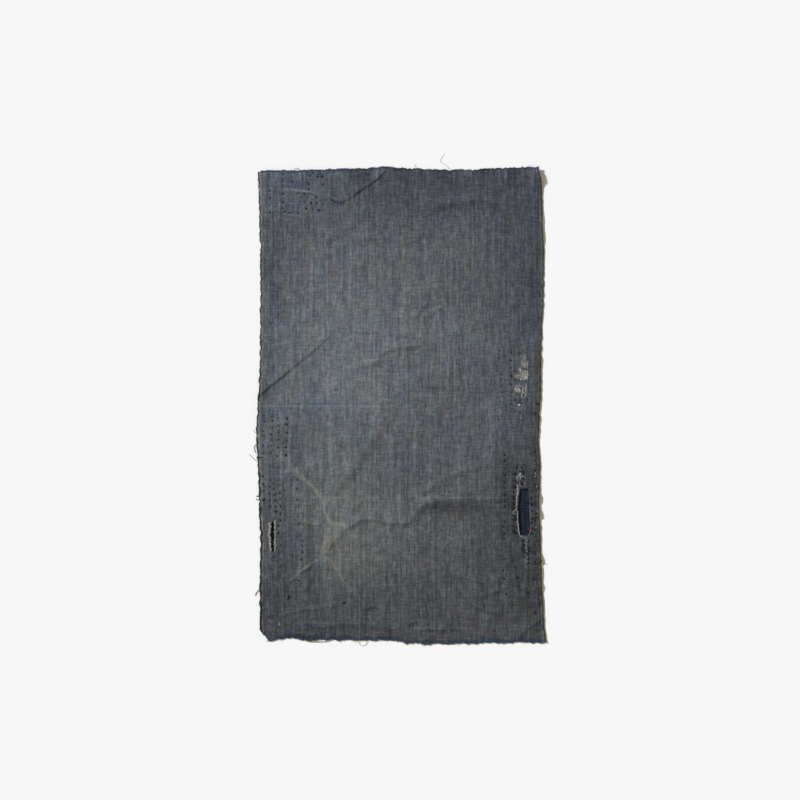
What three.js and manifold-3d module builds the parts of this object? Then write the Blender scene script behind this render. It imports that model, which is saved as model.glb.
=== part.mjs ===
// Boro patched cloth, lying face up on a flat surface.
// A cut length of narrow-loom cotton, worn through in two places, with four cotton patches sewn to its back.
// Millimetres, +Z up. +X runs across the loom width and +Y up the length of the cloth.
// The origin is the middle of the plan, on the surface that the cloth lies on.

import * as THREE from "three";
import { mergeVertices } from "three/addons/utils/BufferGeometryUtils.js";
import Module from "manifold-3d";

const wasm = await Module();
wasm.setup();

// Driving sizes.
const LOOM_WIDTH = 340;
const CUT_LENGTH = 566;
const CLOTH_THICKNESS = 1.0;
const PATCH_THICKNESS = 1.0;
const LAYER_GAP = 0.3; // between the ground cloth and a patch under it
const GRID_CELL = 10; // spacing of the points that shape the ground cloth
const COLUMNS = Math.round(LOOM_WIDTH / GRID_CELL);
const ROWS = Math.round(CUT_LENGTH / GRID_CELL);

// Where the ground cloth rides over a patch: it stays level past the patch's edge, then comes down.
const PATCH_LIFT = PATCH_THICKNESS + LAYER_GAP;
const LEVEL_PAST_PATCH = 1.2 * GRID_CELL;
const RAMP_PAST_PATCH = 2 * GRID_CELL;

// The selvedges, by distance down from the top edge: how far each wanders out (+) or in (-) of the loom
// width, and how far its edge stands off the surface.
const SELVEDGE_SECTIONS = [
  { down: 0, leftOut: 1.2, rightOut: -4.8, leftLift: 0, rightLift: 3.2 },
  { down: 23, leftOut: 0.6, rightOut: -1.2, leftLift: 0, rightLift: 1.6 },
  { down: 60, leftOut: -0.3, rightOut: -0.6, leftLift: 0, rightLift: 2.0 },
  { down: 101, leftOut: -1.4, rightOut: 1.2, leftLift: 0, rightLift: 0 },
  { down: 149, leftOut: -1.8, rightOut: 0.6, leftLift: 0, rightLift: 0 },
  { down: 192, leftOut: -1.2, rightOut: -1.2, leftLift: 0, rightLift: 0 },
  { down: 225, leftOut: -1.0, rightOut: -2.4, leftLift: 0, rightLift: 1.0 },
  { down: 267, leftOut: 0.4, rightOut: -2.4, leftLift: 0.8, rightLift: 0.4 },
  { down: 295, leftOut: 2.4, rightOut: -4.0, leftLift: 0.4, rightLift: 0 },
  { down: 325, leftOut: 3.3, rightOut: -5.2, leftLift: 0, rightLift: 0.2 },
  { down: 355, leftOut: 1.2, rightOut: -3.4, leftLift: 0, rightLift: 0.3 },
  { down: 404, leftOut: 0, rightOut: -4.6, leftLift: 0, rightLift: 2.2 },
  { down: 448, leftOut: -1.6, rightOut: -2.8, leftLift: 0, rightLift: 0.6 },
  { down: 492, leftOut: -0.6, rightOut: -1.4, leftLift: 0, rightLift: 2.0 },
  { down: 534, leftOut: -1.0, rightOut: 0.8, leftLift: 0, rightLift: 0.6 },
  { down: 566, leftOut: -1.2, rightOut: 3.3, leftLift: 0, rightLift: 1.6 },
];
const LIFT_RUN_IN = 34; // how far in from a selvedge its lift fades away

// The two raw cut edges, by distance across from the left selvedge: how far each stands out of the cut
// length. The bottom left corner is snipped off.
const CUT_EDGE_SECTIONS = [
  { across: 0, topOut: -3.9, bottomOut: -15 },
  { across: 10, topOut: -1.6, bottomOut: -0.7 },
  { across: 38, topOut: -2.1, bottomOut: -4.6 },
  { across: 66, topOut: -1.2, bottomOut: -2.5 },
  { across: 123, topOut: 0.9, bottomOut: -1.9 },
  { across: 151, topOut: 2.4, bottomOut: -1.6 },
  { across: 181, topOut: 0.3, bottomOut: 1.2 },
  { across: 202, topOut: -0.6, bottomOut: 2.4 },
  { across: 240, topOut: -1.5, bottomOut: 1.7 },
  { across: 300, topOut: 0.9, bottomOut: 0.5 },
  { across: 340, topOut: 2.1, bottomOut: 0 },
];

// The main creases, each a curve in plan bent towards its middle point. The cloth climbs gently to the
// crease line on one side, over rise, and drops from it on the other, over fall. A crease runs with its
// gentle side on the left.
const CREASES = [
  { from: [-86, 243], middle: [-66, 231], to: [-16, 284], height: 2.6, rise: 30, fall: 11 },
  { from: [-170, 10], middle: [-128, 44], to: [-82, 86], height: 2.8, rise: 28, fall: 11 },
  { from: [-28, 58], middle: [-8, 72], to: [26, 70], height: 1.2, rise: 24, fall: 12 },
  { from: [-68, -150], middle: [-38, -134], to: [10, -138], height: 1.8, rise: 22, fall: 11 },
  { from: [8, -132], middle: [34, -110], to: [122, -112], height: 1.8, rise: 26, fall: 11 },
  { from: [-118, -60], middle: [-74, -122], to: [-96, -180], height: 1.6, rise: 20, fall: 18 },
  { from: [-60, -262], middle: [-10, -266], to: [60, -270], height: 1.6, rise: 18, fall: 12 },
  { from: [84, -242], middle: [104, -250], to: [122, -250], height: 1.2, rise: 18, fall: 11 },
  { from: [138, -280], middle: [150, -272], to: [172, -258], height: 2.0, rise: 20, fall: 11 },
];
const CREASE_STEPS = 24; // straight steps that a crease's curve is measured along

// The places where the ground cloth is worn right through, each from the middle of its top, with sections
// by distance down from there.
const WORN_HOLES = [
  {
    x: 147.2,
    top: -99.9,
    sections: [
      { down: 0, left: -2.9, right: 4.5 },
      { down: 3, left: -5.7, right: 5.2 },
      { down: 13, left: -6.6, right: 6.0 },
      { down: 22, left: -7.2, right: 6.0 },
      { down: 34, left: -6.0, right: 6.5 },
      { down: 46, left: -6.2, right: 6.7 },
      { down: 53, left: -5.0, right: 6.0 },
      { down: 57, left: -2.8, right: 3.4 },
    ],
  },
  {
    x: -153.2,
    top: -138.6,
    sections: [
      { down: 0, left: 0.5, right: 1.4 },
      { down: 3, left: -1.3, right: 1.6 },
      { down: 8, left: -2.0, right: 1.8 },
      { down: 16, left: -3.1, right: 1.9 },
      { down: 25, left: -2.0, right: 2.0 },
      { down: 33, left: -0.9, right: 2.0 },
      { down: 36, left: 0.4, right: 1.3 },
    ],
  },
];
const CUTTER_HEIGHT = 20;

// The patches on the back. A patch's sides are cut by eye: it leans by lean from bottom to top, and each
// side bows out by bow at its middle. Its dye is its colour.
const PATCHES = [
  { name: "patch_right", left: 115, right: 162, bottom: -234, top: 70, lean: -3, bow: 1.2, dye: 0x1d2430 },
  { name: "patch_left_low", left: -166, right: -116, bottom: -216, top: -84, lean: -4, bow: 1, dye: 0x1f1f22 },
  { name: "patch_left_high", left: -167, right: -132, bottom: -68, top: -6, lean: 1, bow: 0.6, dye: 0x3c4654 },
  { name: "patch_top", left: -161, right: -89, bottom: 224, top: 279, lean: 1, bow: -0.8, dye: 0x333d4b },
];

const GROUND_COLOUR = 0x5b636c;
const CLOTH_FINISH = { roughness: 0.95, metalness: 0 };

// The value of one column of a table at a place between its rows, eased from row to row.
function tableValue(rows, placeKey, valueKey, place) {
  const next = rows.findIndex((row) => place <= row[placeKey]);
  if (next === 0) return rows[0][valueKey];
  if (next < 0) return rows[rows.length - 1][valueKey];
  const low = rows[next - 1];
  const high = rows[next];
  const share = THREE.MathUtils.smoothstep(place, low[placeKey], high[placeKey]);
  return THREE.MathUtils.lerp(low[valueKey], high[valueKey], share);
}

// 1 at a distance of zero, easing to 0 at reach.
function fade(distance, reach) {
  return 1 - THREE.MathUtils.smoothstep(distance, 0, reach);
}

// How far the cloth is lifted where it rides over the patches.
function patchLift(x, y) {
  const lifts = PATCHES.map((patch) => {
    const outX = Math.max(patch.left - x, x - patch.right, 0) - LEVEL_PAST_PATCH;
    const outY = Math.max(patch.bottom - y, y - patch.top, 0) - LEVEL_PAST_PATCH;
    return PATCH_LIFT * fade(outX, RAMP_PAST_PATCH) * fade(outY, RAMP_PAST_PATCH);
  });
  return Math.max(...lifts);
}

// How far the cloth is lifted near a selvedge that stands off the surface.
function selvedgeLift(x, y) {
  const down = CUT_LENGTH / 2 - y;
  const leftLift = tableValue(SELVEDGE_SECTIONS, "down", "leftLift", down);
  const rightLift = tableValue(SELVEDGE_SECTIONS, "down", "rightLift", down);
  const fromLeft = Math.max(x + LOOM_WIDTH / 2, 0);
  const fromRight = Math.max(LOOM_WIDTH / 2 - x, 0);
  return leftLift * fade(fromLeft, LIFT_RUN_IN) + rightLift * fade(fromRight, LIFT_RUN_IN);
}

// A crease's curve as points in plan.
function creaseLine(crease) {
  const [from, middle, to] = [crease.from, crease.middle, crease.to].map((p) => new THREE.Vector2(...p));
  return new THREE.QuadraticBezierCurve(from, middle, to).getPoints(CREASE_STEPS);
}
const CREASE_LINES = CREASES.map(creaseLine);

// How far one crease lifts the cloth: highest along the middle of its line, and nothing at its ends.
function creaseLift(crease, line, place) {
  let nearest = 0;
  line.forEach((point, i) => {
    if (point.distanceTo(place) < line[nearest].distanceTo(place)) nearest = i;
  });
  const ahead = line[Math.min(nearest + 1, CREASE_STEPS)];
  const behind = line[Math.max(nearest - 1, 0)];
  const along = ahead.clone().sub(behind);
  const away = place.clone().sub(line[nearest]);
  const onGentleSide = along.cross(away) > 0;
  const taper = Math.sqrt(Math.sin((Math.PI * nearest) / CREASE_STEPS));
  return crease.height * taper * fade(away.length(), onGentleSide ? crease.rise : crease.fall);
}

// The height of the ground cloth's underside.
function clothLift(x, y) {
  const place = new THREE.Vector2(x, y);
  const creased = CREASES.map((crease, i) => creaseLift(crease, CREASE_LINES[i], place));
  return patchLift(x, y) + selvedgeLift(x, y) + Math.max(...creased);
}

// A point of the ground cloth's underside, from its shares across the width and up the length.
function clothPoint(acrossShare, upShare) {
  const down = (1 - upShare) * CUT_LENGTH;
  const across = acrossShare * LOOM_WIDTH;
  const left = -LOOM_WIDTH / 2 - tableValue(SELVEDGE_SECTIONS, "down", "leftOut", down);
  const right = LOOM_WIDTH / 2 + tableValue(SELVEDGE_SECTIONS, "down", "rightOut", down);
  const bottom = -CUT_LENGTH / 2 - tableValue(CUT_EDGE_SECTIONS, "across", "bottomOut", across);
  const top = CUT_LENGTH / 2 + tableValue(CUT_EDGE_SECTIONS, "across", "topOut", across);
  const x = THREE.MathUtils.lerp(left, right, acrossShare);
  const y = THREE.MathUtils.lerp(bottom, top, upShare);
  return new THREE.Vector3(x, y, clothLift(x, y));
}

// A closed sheet over a grid of underside points, of even thickness.
function sheetGeometry(pointAt, columns, rows, thickness) {
  const underside = [];
  for (let row = 0; row <= rows; row++) {
    for (let column = 0; column <= columns; column++) underside.push(pointAt(column / columns, row / rows));
  }
  const upper = underside.map((point) => point.clone().setZ(point.z + thickness));
  const at = (column, row) => row * (columns + 1) + column;
  const above = (index) => index + underside.length;
  const faces = [];
  const addFace = (a, b, c) => {
    faces.push(above(a), above(b), above(c));
    faces.push(a, c, b);
  };
  for (let row = 0; row < rows; row++) {
    for (let column = 0; column < columns; column++) {
      const [a, b] = [at(column, row), at(column + 1, row)];
      const [c, d] = [at(column + 1, row + 1), at(column, row + 1)];
      const acLevel = Math.abs(underside[a].z - underside[c].z) <= Math.abs(underside[b].z - underside[d].z);
      if (acLevel) {
        addFace(a, b, c);
        addFace(a, c, d);
      } else {
        addFace(a, b, d);
        addFace(b, c, d);
      }
    }
  }
  const rim = [];
  for (let column = 0; column < columns; column++) rim.push(at(column, 0));
  for (let row = 0; row < rows; row++) rim.push(at(columns, row));
  for (let column = columns; column > 0; column--) rim.push(at(column, rows));
  for (let row = rows; row > 0; row--) rim.push(at(0, row));
  rim.forEach((here, i) => {
    const next = rim[(i + 1) % rim.length];
    faces.push(here, next, above(next));
    faces.push(here, above(next), above(here));
  });
  return new THREE.BufferGeometry().setFromPoints([...underside, ...upper]).setIndex(faces);
}

// A closed geometry as a solid that can be cut.
function solidOf(geometry) {
  const bare = geometry.clone();
  bare.deleteAttribute("normal");
  bare.deleteAttribute("uv");
  const merged = mergeVertices(bare);
  const vertProperties = new Float32Array(merged.attributes.position.array);
  const triVerts = new Uint32Array(merged.index.array);
  return new wasm.Manifold(new wasm.Mesh({ numProp: 3, vertProperties, triVerts }));
}

// A solid's surface as a geometry with flat shading.
function geometryOf(solid) {
  const mesh = solid.getMesh();
  const position = new THREE.BufferAttribute(new Float32Array(mesh.vertProperties), 3);
  const indexed = new THREE.BufferGeometry().setAttribute("position", position);
  indexed.setIndex(new THREE.BufferAttribute(new Uint32Array(mesh.triVerts), 1));
  const geometry = indexed.toNonIndexed();
  geometry.computeVertexNormals();
  return geometry;
}

// An upright prism with a worn hole's outline.
function holeCutter(hole) {
  const leftSide = hole.sections.map((s) => new THREE.Vector2(hole.x + s.left, hole.top - s.down));
  const rightSide = hole.sections.map((s) => new THREE.Vector2(hole.x + s.right, hole.top - s.down));
  const outline = new THREE.Shape([...leftSide, ...rightSide.reverse()]);
  const prism = new THREE.ExtrudeGeometry(outline, { depth: CUTTER_HEIGHT, bevelEnabled: false });
  return solidOf(prism.translate(0, 0, -CUTTER_HEIGHT / 2));
}

// The ground cloth, with its worn holes cut through.
function groundCloth() {
  const whole = solidOf(sheetGeometry(clothPoint, COLUMNS, ROWS, CLOTH_THICKNESS));
  const worn = WORN_HOLES.reduce((solid, hole) => solid.subtract(holeCutter(hole)), whole);
  return geometryOf(worn);
}

// A patch lying flat on the surface, with its corners and the bowed middles of its sides.
function patchGeometry(patch) {
  const { left, right, bottom, top, lean, bow } = patch;
  const middleX = (left + right) / 2;
  const middleY = (bottom + top) / 2;
  const outline = new THREE.Shape([
    new THREE.Vector2(left - lean / 2, bottom),
    new THREE.Vector2(middleX - lean / 2, bottom - bow),
    new THREE.Vector2(right - lean / 2, bottom),
    new THREE.Vector2(right + bow, middleY),
    new THREE.Vector2(right + lean / 2, top),
    new THREE.Vector2(middleX + lean / 2, top + bow),
    new THREE.Vector2(left + lean / 2, top),
    new THREE.Vector2(left - bow, middleY),
  ]);
  return new THREE.ExtrudeGeometry(outline, { depth: PATCH_THICKNESS, bevelEnabled: false });
}

function namedMesh(name, geometry, color) {
  const mesh = new THREE.Mesh(geometry, new THREE.MeshStandardMaterial({ color, ...CLOTH_FINISH }));
  mesh.name = name;
  return mesh;
}

const boroCloth = new THREE.Group();
boroCloth.add(namedMesh("ground_cloth", groundCloth(), GROUND_COLOUR));
PATCHES.forEach((patch) => boroCloth.add(namedMesh(patch.name, patchGeometry(patch), patch.dye)));

export default boroCloth;
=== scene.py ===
import math
from collections import namedtuple

import bpy
import numpy as np
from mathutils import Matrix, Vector, noise
from mathutils.geometry import delaunay_2d_cdt


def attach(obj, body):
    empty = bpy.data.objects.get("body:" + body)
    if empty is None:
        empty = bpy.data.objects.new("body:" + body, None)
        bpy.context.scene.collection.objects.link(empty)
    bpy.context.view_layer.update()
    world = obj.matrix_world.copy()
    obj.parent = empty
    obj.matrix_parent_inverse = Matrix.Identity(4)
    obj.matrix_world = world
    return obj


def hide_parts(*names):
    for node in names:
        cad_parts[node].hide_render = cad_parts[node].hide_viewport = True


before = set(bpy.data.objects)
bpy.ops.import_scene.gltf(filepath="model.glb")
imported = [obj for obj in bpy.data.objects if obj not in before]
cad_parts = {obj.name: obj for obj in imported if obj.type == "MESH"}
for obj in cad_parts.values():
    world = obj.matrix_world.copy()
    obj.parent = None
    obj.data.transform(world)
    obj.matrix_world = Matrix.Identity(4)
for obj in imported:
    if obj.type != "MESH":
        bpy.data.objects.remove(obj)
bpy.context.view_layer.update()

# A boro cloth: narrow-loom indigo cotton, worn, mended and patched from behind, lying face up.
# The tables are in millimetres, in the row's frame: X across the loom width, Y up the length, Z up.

MM = 0.001
rng = np.random.default_rng(1868)

# Sizes of the cloth and of its yarns.
LOOM_WIDTH = 340.0
CUT_LENGTH = 566.0
CLOTH_THICKNESS = 0.85
PATCH_UNDERSIDE = 0.45
PATCH_FACE = 1.0
PATCH_LIFT = 1.3
LEVEL_PAST_PATCH = 1.5
RAMP_PAST_PATCH = 10.0
LIFT_LOST_AT_SELVEDGE = 0.85
LIFT_RUN_OUT_LEFT = 3.5
LIFT_RUN_OUT_RIGHT = 7.0
LIFT_RUN_IN = 16.0
WARP_PITCH = 0.62
WEFT_PITCH = 0.68
COARSE_STEP = 3.0
FINE_STEP = 1.42
RIM_STEP = 0.8

# The selvedges, by distance down from the top edge: how far each wanders out of the loom width, and how
# far it stands off the surface.
Selvedge = namedtuple("Selvedge", "down left_out right_out left_lift")
SELVEDGES = [
    Selvedge(0, 1.2, -4.8, 0),
    Selvedge(23, 0.6, -1.2, 0),
    Selvedge(60, -0.3, -0.6, 0),
    Selvedge(101, -1.4, 1.2, 0),
    Selvedge(149, -1.8, 0.6, 0),
    Selvedge(192, -1.2, -1.2, 0),
    Selvedge(225, -1.0, -2.4, 0),
    Selvedge(267, 0.4, -2.4, 0.8),
    Selvedge(295, 2.4, -4.0, 0.4),
    Selvedge(325, 3.3, -5.2, 0),
    Selvedge(355, 1.2, -3.4, 0),
    Selvedge(404, 0, -4.6, 0),
    Selvedge(448, -1.6, -2.8, 0),
    Selvedge(492, -0.6, -1.4, 0),
    Selvedge(534, -1.0, 0.8, 0),
    Selvedge(566, -1.2, 3.3, 0),
]

# How far the right selvedge stands off the surface in its short waves, by distance down.
EdgeLift = namedtuple("EdgeLift", "down lift")
RIGHT_WAVES = [
    EdgeLift(0, 4.4),
    EdgeLift(4, 5.4),
    EdgeLift(9, 5.9),
    EdgeLift(13, 4.9),
    EdgeLift(17, 2.6),
    EdgeLift(22, 0.9),
    EdgeLift(34, 0.2),
    EdgeLift(48, 0.1),
    EdgeLift(62, 1.5),
    EdgeLift(72, 0.9),
    EdgeLift(80, 1.5),
    EdgeLift(95, 0.1),
    EdgeLift(195, 0.0),
    EdgeLift(222, 0.3),
    EdgeLift(231, 0.8),
    EdgeLift(241, 0.2),
    EdgeLift(312, 0.4),
    EdgeLift(320, 0.0),
    EdgeLift(386, 0.2),
    EdgeLift(392, 2.3),
    EdgeLift(396, 2.4),
    EdgeLift(402, 0.9),
    EdgeLift(406, 1.2),
    EdgeLift(411, 3.1),
    EdgeLift(415, 3.1),
    EdgeLift(420, 0.5),
    EdgeLift(446, 0.2),
    EdgeLift(458, 0.1),
    EdgeLift(465, 2.3),
    EdgeLift(469, 2.2),
    EdgeLift(474, 1.0),
    EdgeLift(487, 1.1),
    EdgeLift(493, 0.4),
    EdgeLift(500, 1.9),
    EdgeLift(508, 0.3),
    EdgeLift(528, 0.3),
    EdgeLift(542, 0.0),
    EdgeLift(566, 0.5),
]

# The raw cut edges, by distance across from the left selvedge, with the snipped bottom left corner.
CutEdge = namedtuple("CutEdge", "across top_out bottom_out")
CUT_EDGES = [
    CutEdge(0, -3.9, -15),
    CutEdge(6.5, -2.4, -8.2),
    CutEdge(13, -1.6, -1.0),
    CutEdge(38, -2.1, -4.6),
    CutEdge(66, -1.2, -2.5),
    CutEdge(123, 0.9, -1.9),
    CutEdge(151, 2.4, -1.6),
    CutEdge(181, 0.3, 1.2),
    CutEdge(202, -0.6, 2.4),
    CutEdge(240, -1.5, 1.7),
    CutEdge(300, 0.9, 0.5),
    CutEdge(340, 2.1, 0),
]

# Creases, each a curve through a few places. The cloth climbs gently to the line on its left, over rise,
# and drops on its right, over fall. The last column is the painted shade laid along the fold line.
Crease = namedtuple("Crease", "corners height rise fall dark")
CREASES = [
    Crease([(-186, -2), (-169, 12), (-152, 26), (-140, 36), (-130, 44)], 0.8, 20, 2.8, 1.0),
    Crease([(-143, 33.5), (-130, 44.3), (-118, 54.5), (-108, 62.5), (-98.5, 70.5), (-91, 77.5), (-83, 84)],
           0.6, 14, 2.6, 0.46),
    Crease([(-76, 86.6), (-60, 87.4), (-46, 87), (-34, 87)], 0.6, 12, 4.0, 0.13),
    Crease([(-168, 55), (-157, 63), (-144, 73)], 0.6, 8, 4.0, 0.15),
    Crease([(-90, 249), (-77, 243), (-72, 242), (-66, 244.5)], 0.9, 12, 3.0, 1.0),
    Crease([(-66, 244.5), (-53, 253), (-44, 259), (-36, 265), (-29, 270.3), (-22, 276.4), (-15, 285)],
           0.8, 22, 2.8, 0.95),
    Crease([(-94, 197), (-80, 203), (-66, 211), (-54, 219)], 0.8, 9, 9.0, 0.0),
    Crease([(-80, 187), (-70, 191), (-58, 197), (-40, 199), (-19, 199)], 0.8, 10, 6.0, 0.1),
    Crease([(30, 234), (46, 239), (60, 242.6), (76, 244), (98, 244.6)], 1.6, 12, 10.0, 0.1),
    Crease([(-20, 262), (-18, 254), (-19, 244)], 0.9, 8, 8.0, 0.0),
    Crease([(-30, 57), (-23, 60.5), (-15, 65), (-4, 68), (12, 70), (29, 72)], 1.0, 12, 5.5, 0.28),
    Crease([(-60, 44), (-45, 48), (-30, 50.5), (-18, 51)], 0.8, 10, 6.0, 0.05),
    Crease([(18, 64), (24, 58), (27, 50)], 1.0, 8, 6.0, 0.1),
    Crease([(12, 100), (20, 109), (28, 119), (34, 125)], 0.6, 7, 4.4, 0.05),
    Crease([(30, 106), (40, 112), (51, 118)], 0.55, 7, 4.4, 0.05),
    Crease([(0, 201), (14, 202), (28, 201)], 0.9, 10, 5.0, 0.1),
    Crease([(20, 128), (40, 134), (66, 130)], 0.7, 12, 5.0, 0.05),
    Crease([(-91, -174), (-83, -166), (-75, -158), (-68, -149.5), (-59, -145.2), (-49.5, -139),
            (-36.5, -136.4)], 1.05, 12, 5.0, 0.42),
    Crease([(-44, -137), (-35, -136.6), (-27, -139), (-16, -140.4), (-5, -141.6), (4, -142.8), (13, -140)],
           1.1, 12, 5.0, 0.32),
    Crease([(8, -143), (13.8, -136), (19.8, -125.4), (28.7, -118.3), (38, -115)], 1.6, 12, 9.0, 0.25),
    Crease([(30, -117), (42, -114.4), (54, -113), (66, -113), (78, -113.5)], 1.85, 14, 15.0, 0.14),
    Crease([(74, -113.5), (100, -113.2), (124, -113)], 1.05, 12, 6.0, 0.32),
    Crease([(-84, -108), (-70, -90), (-60, -77), (-53, -67), (-45, -56), (-36, -42), (-29, -30)],
           1.3, 17, 12.0, 0.0),
    Crease([(-26, -24), (-24, -8), (-22, 8)], 0.7, 10, 8.0, 0.0),
    Crease([(22, -108), (40, -97), (56, -86), (76, -78), (90, -76), (101, -69)], 0.6, 8, 7.0, 0.03),
    Crease([(-118, -60), (-88, -110), (-92, -150)], 0.7, 16, 9.0, 0.0),
    Crease([(-122, -202), (-114, -196.5), (-106, -190.5)], 0.65, 7, 2.6, 0.35),
    Crease([(-78, -195), (-72, -203), (-66, -212)], 0.8, 8, 3.4, 0.2),
    Crease([(-118, -141), (-106, -143), (-95, -143.6)], 0.8, 9, 3.2, 0.38),
    Crease([(-112, -262), (-88, -263.5), (-64, -262), (-36, -263), (-20, -266), (4, -273)], 1.3, 8, 7.0, 0.2),
    Crease([(86, -243), (98, -245.5), (110, -249), (124, -251)], 0.9, 12, 3.0, 0.5),
    Crease([(136, -283), (150, -269), (166, -259), (182, -250)], 0.65, 14, 3.0, 0.45),
    Crease([(7.5, -265), (13, -261.5), (19, -257.5)], 0.8, 8, 2.6, 0.45),
    Crease([(18, -270), (34, -269), (56, -269.5)], 0.9, 7, 3.0, 0.4),
    Crease([(18, -258.6), (31, -261), (48, -264.6)], 0.7, 5, 3.0, 0.0),
    Crease([(-45, -246), (-38, -243.5), (-30, -240.5)], 0.8, 8, 2.6, 0.45),
    Crease([(-126, -246), (-98, -243), (-70, -238)], 0.7, 6, 3.6, 0.1),
    Crease([(-166, -253), (-150, -251), (-134, -250)], 0.7, 6, 3.6, 0.1),
    Crease([(91, -230), (110, -224), (130, -218)], 0.9, 8, 4.0, 0.1),
    Crease([(122, -230), (136, -228), (148, -232)], 0.7, 9, 3.2, 0.15),
    Crease([(18, 25), (38, 22), (60, 24)], 0.6, 12, 3.6, 0.1),
    Crease([(30, -10), (52, -15), (78, -10)], 0.5, 12, 4.0, 0.05),
    Crease([(-160, -273), (-120, -275), (-84, -272)], 0.8, 9, 3.4, 0.15),
]
CREASE_BEND_STEPS = 6
CREASE_STEP = 1.6
CREASE_SHAKE = 0.9
CREASE_SHAKE_STEPS = 3.1
CREASE_LINE_WIDTH = 0.9
CREASE_LINE_REACH = 4.0

# How a crease comes and goes: its usual strength, how much that varies and over what share of its length, its
# least and its most. It dies out over the last share at each end.
CREASE_USUAL = 0.9
CREASE_VARIES = 0.45
CREASE_VARIES_OVER = 0.24
CREASE_LIMITS = (0.45, 1.15)
CREASE_END_SHARE = 0.125

# The painted highlight on the ridge beside a crease, and the painted shade in the drop behind it as shares of
# its fall.
RIDGE_PAINTED_LIGHT = 0.6
RIDGE_OUT = 1.8
DROP_MIDDLE = 0.42
DROP_REACH = 0.58
LINE_SHADE_SPARES_LIGHT = 0.8

# Places where the cloth is worn right through, each from the middle of its top. Their sides are frayed.
HoleSection = namedtuple("HoleSection", "down left right")
Hole = namedtuple("Hole", "x top sections")
HOLES = [
    Hole(147.2, -99.6, [
        HoleSection(0, -4.4, 4.7),
        HoleSection(2, -5.4, 5.0),
        HoleSection(10, -6.2, 5.6),
        HoleSection(22, -7.3, 6.2),
        HoleSection(34, -6.2, 6.5),
        HoleSection(46, -5.9, 7.1),
        HoleSection(54, -5.4, 6.8),
        HoleSection(56, -4.6, 5.4),
    ]),
    Hole(-153.2, -139.4, [
        HoleSection(0, -0.2, 1.5),
        HoleSection(1.6, -1.6, 1.7),
        HoleSection(5, -2.3, 1.8),
        HoleSection(9, -1.8, 1.8),
        HoleSection(15, -3.0, 1.9),
        HoleSection(20, -2.2, 1.9),
        HoleSection(27, -2.4, 1.8),
        HoleSection(33, -1.8, 1.8),
        HoleSection(35.4, -0.8, 1.5),
    ]),
]
HOLE_HALF_WIDTH = 8.0
HOLE_FRAY = 0.25
HOLE_FRAY_STEP = 2.2
HOLE_SEED = 11

# The patches behind the cloth, cut by eye: lean is the shift from bottom to top, bow the bulge of a side.
Patch = namedtuple("Patch", "node left right bottom top lean bow slot")
PATCHES = [
    Patch("patch_right", 115, 162, -234, 70, -3, 1.2, "navy_cotton"),
    Patch("patch_left_low", -166, -116, -216, -84, -4, 1.0, "black_cotton"),
    Patch("patch_left_high", -167, -132, -68, -6, 1, 0.6, "indigo_patch_cotton"),
    Patch("patch_top", -161, -89, 224, 279, 1, -0.8, "indigo_patch_cotton"),
]

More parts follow.
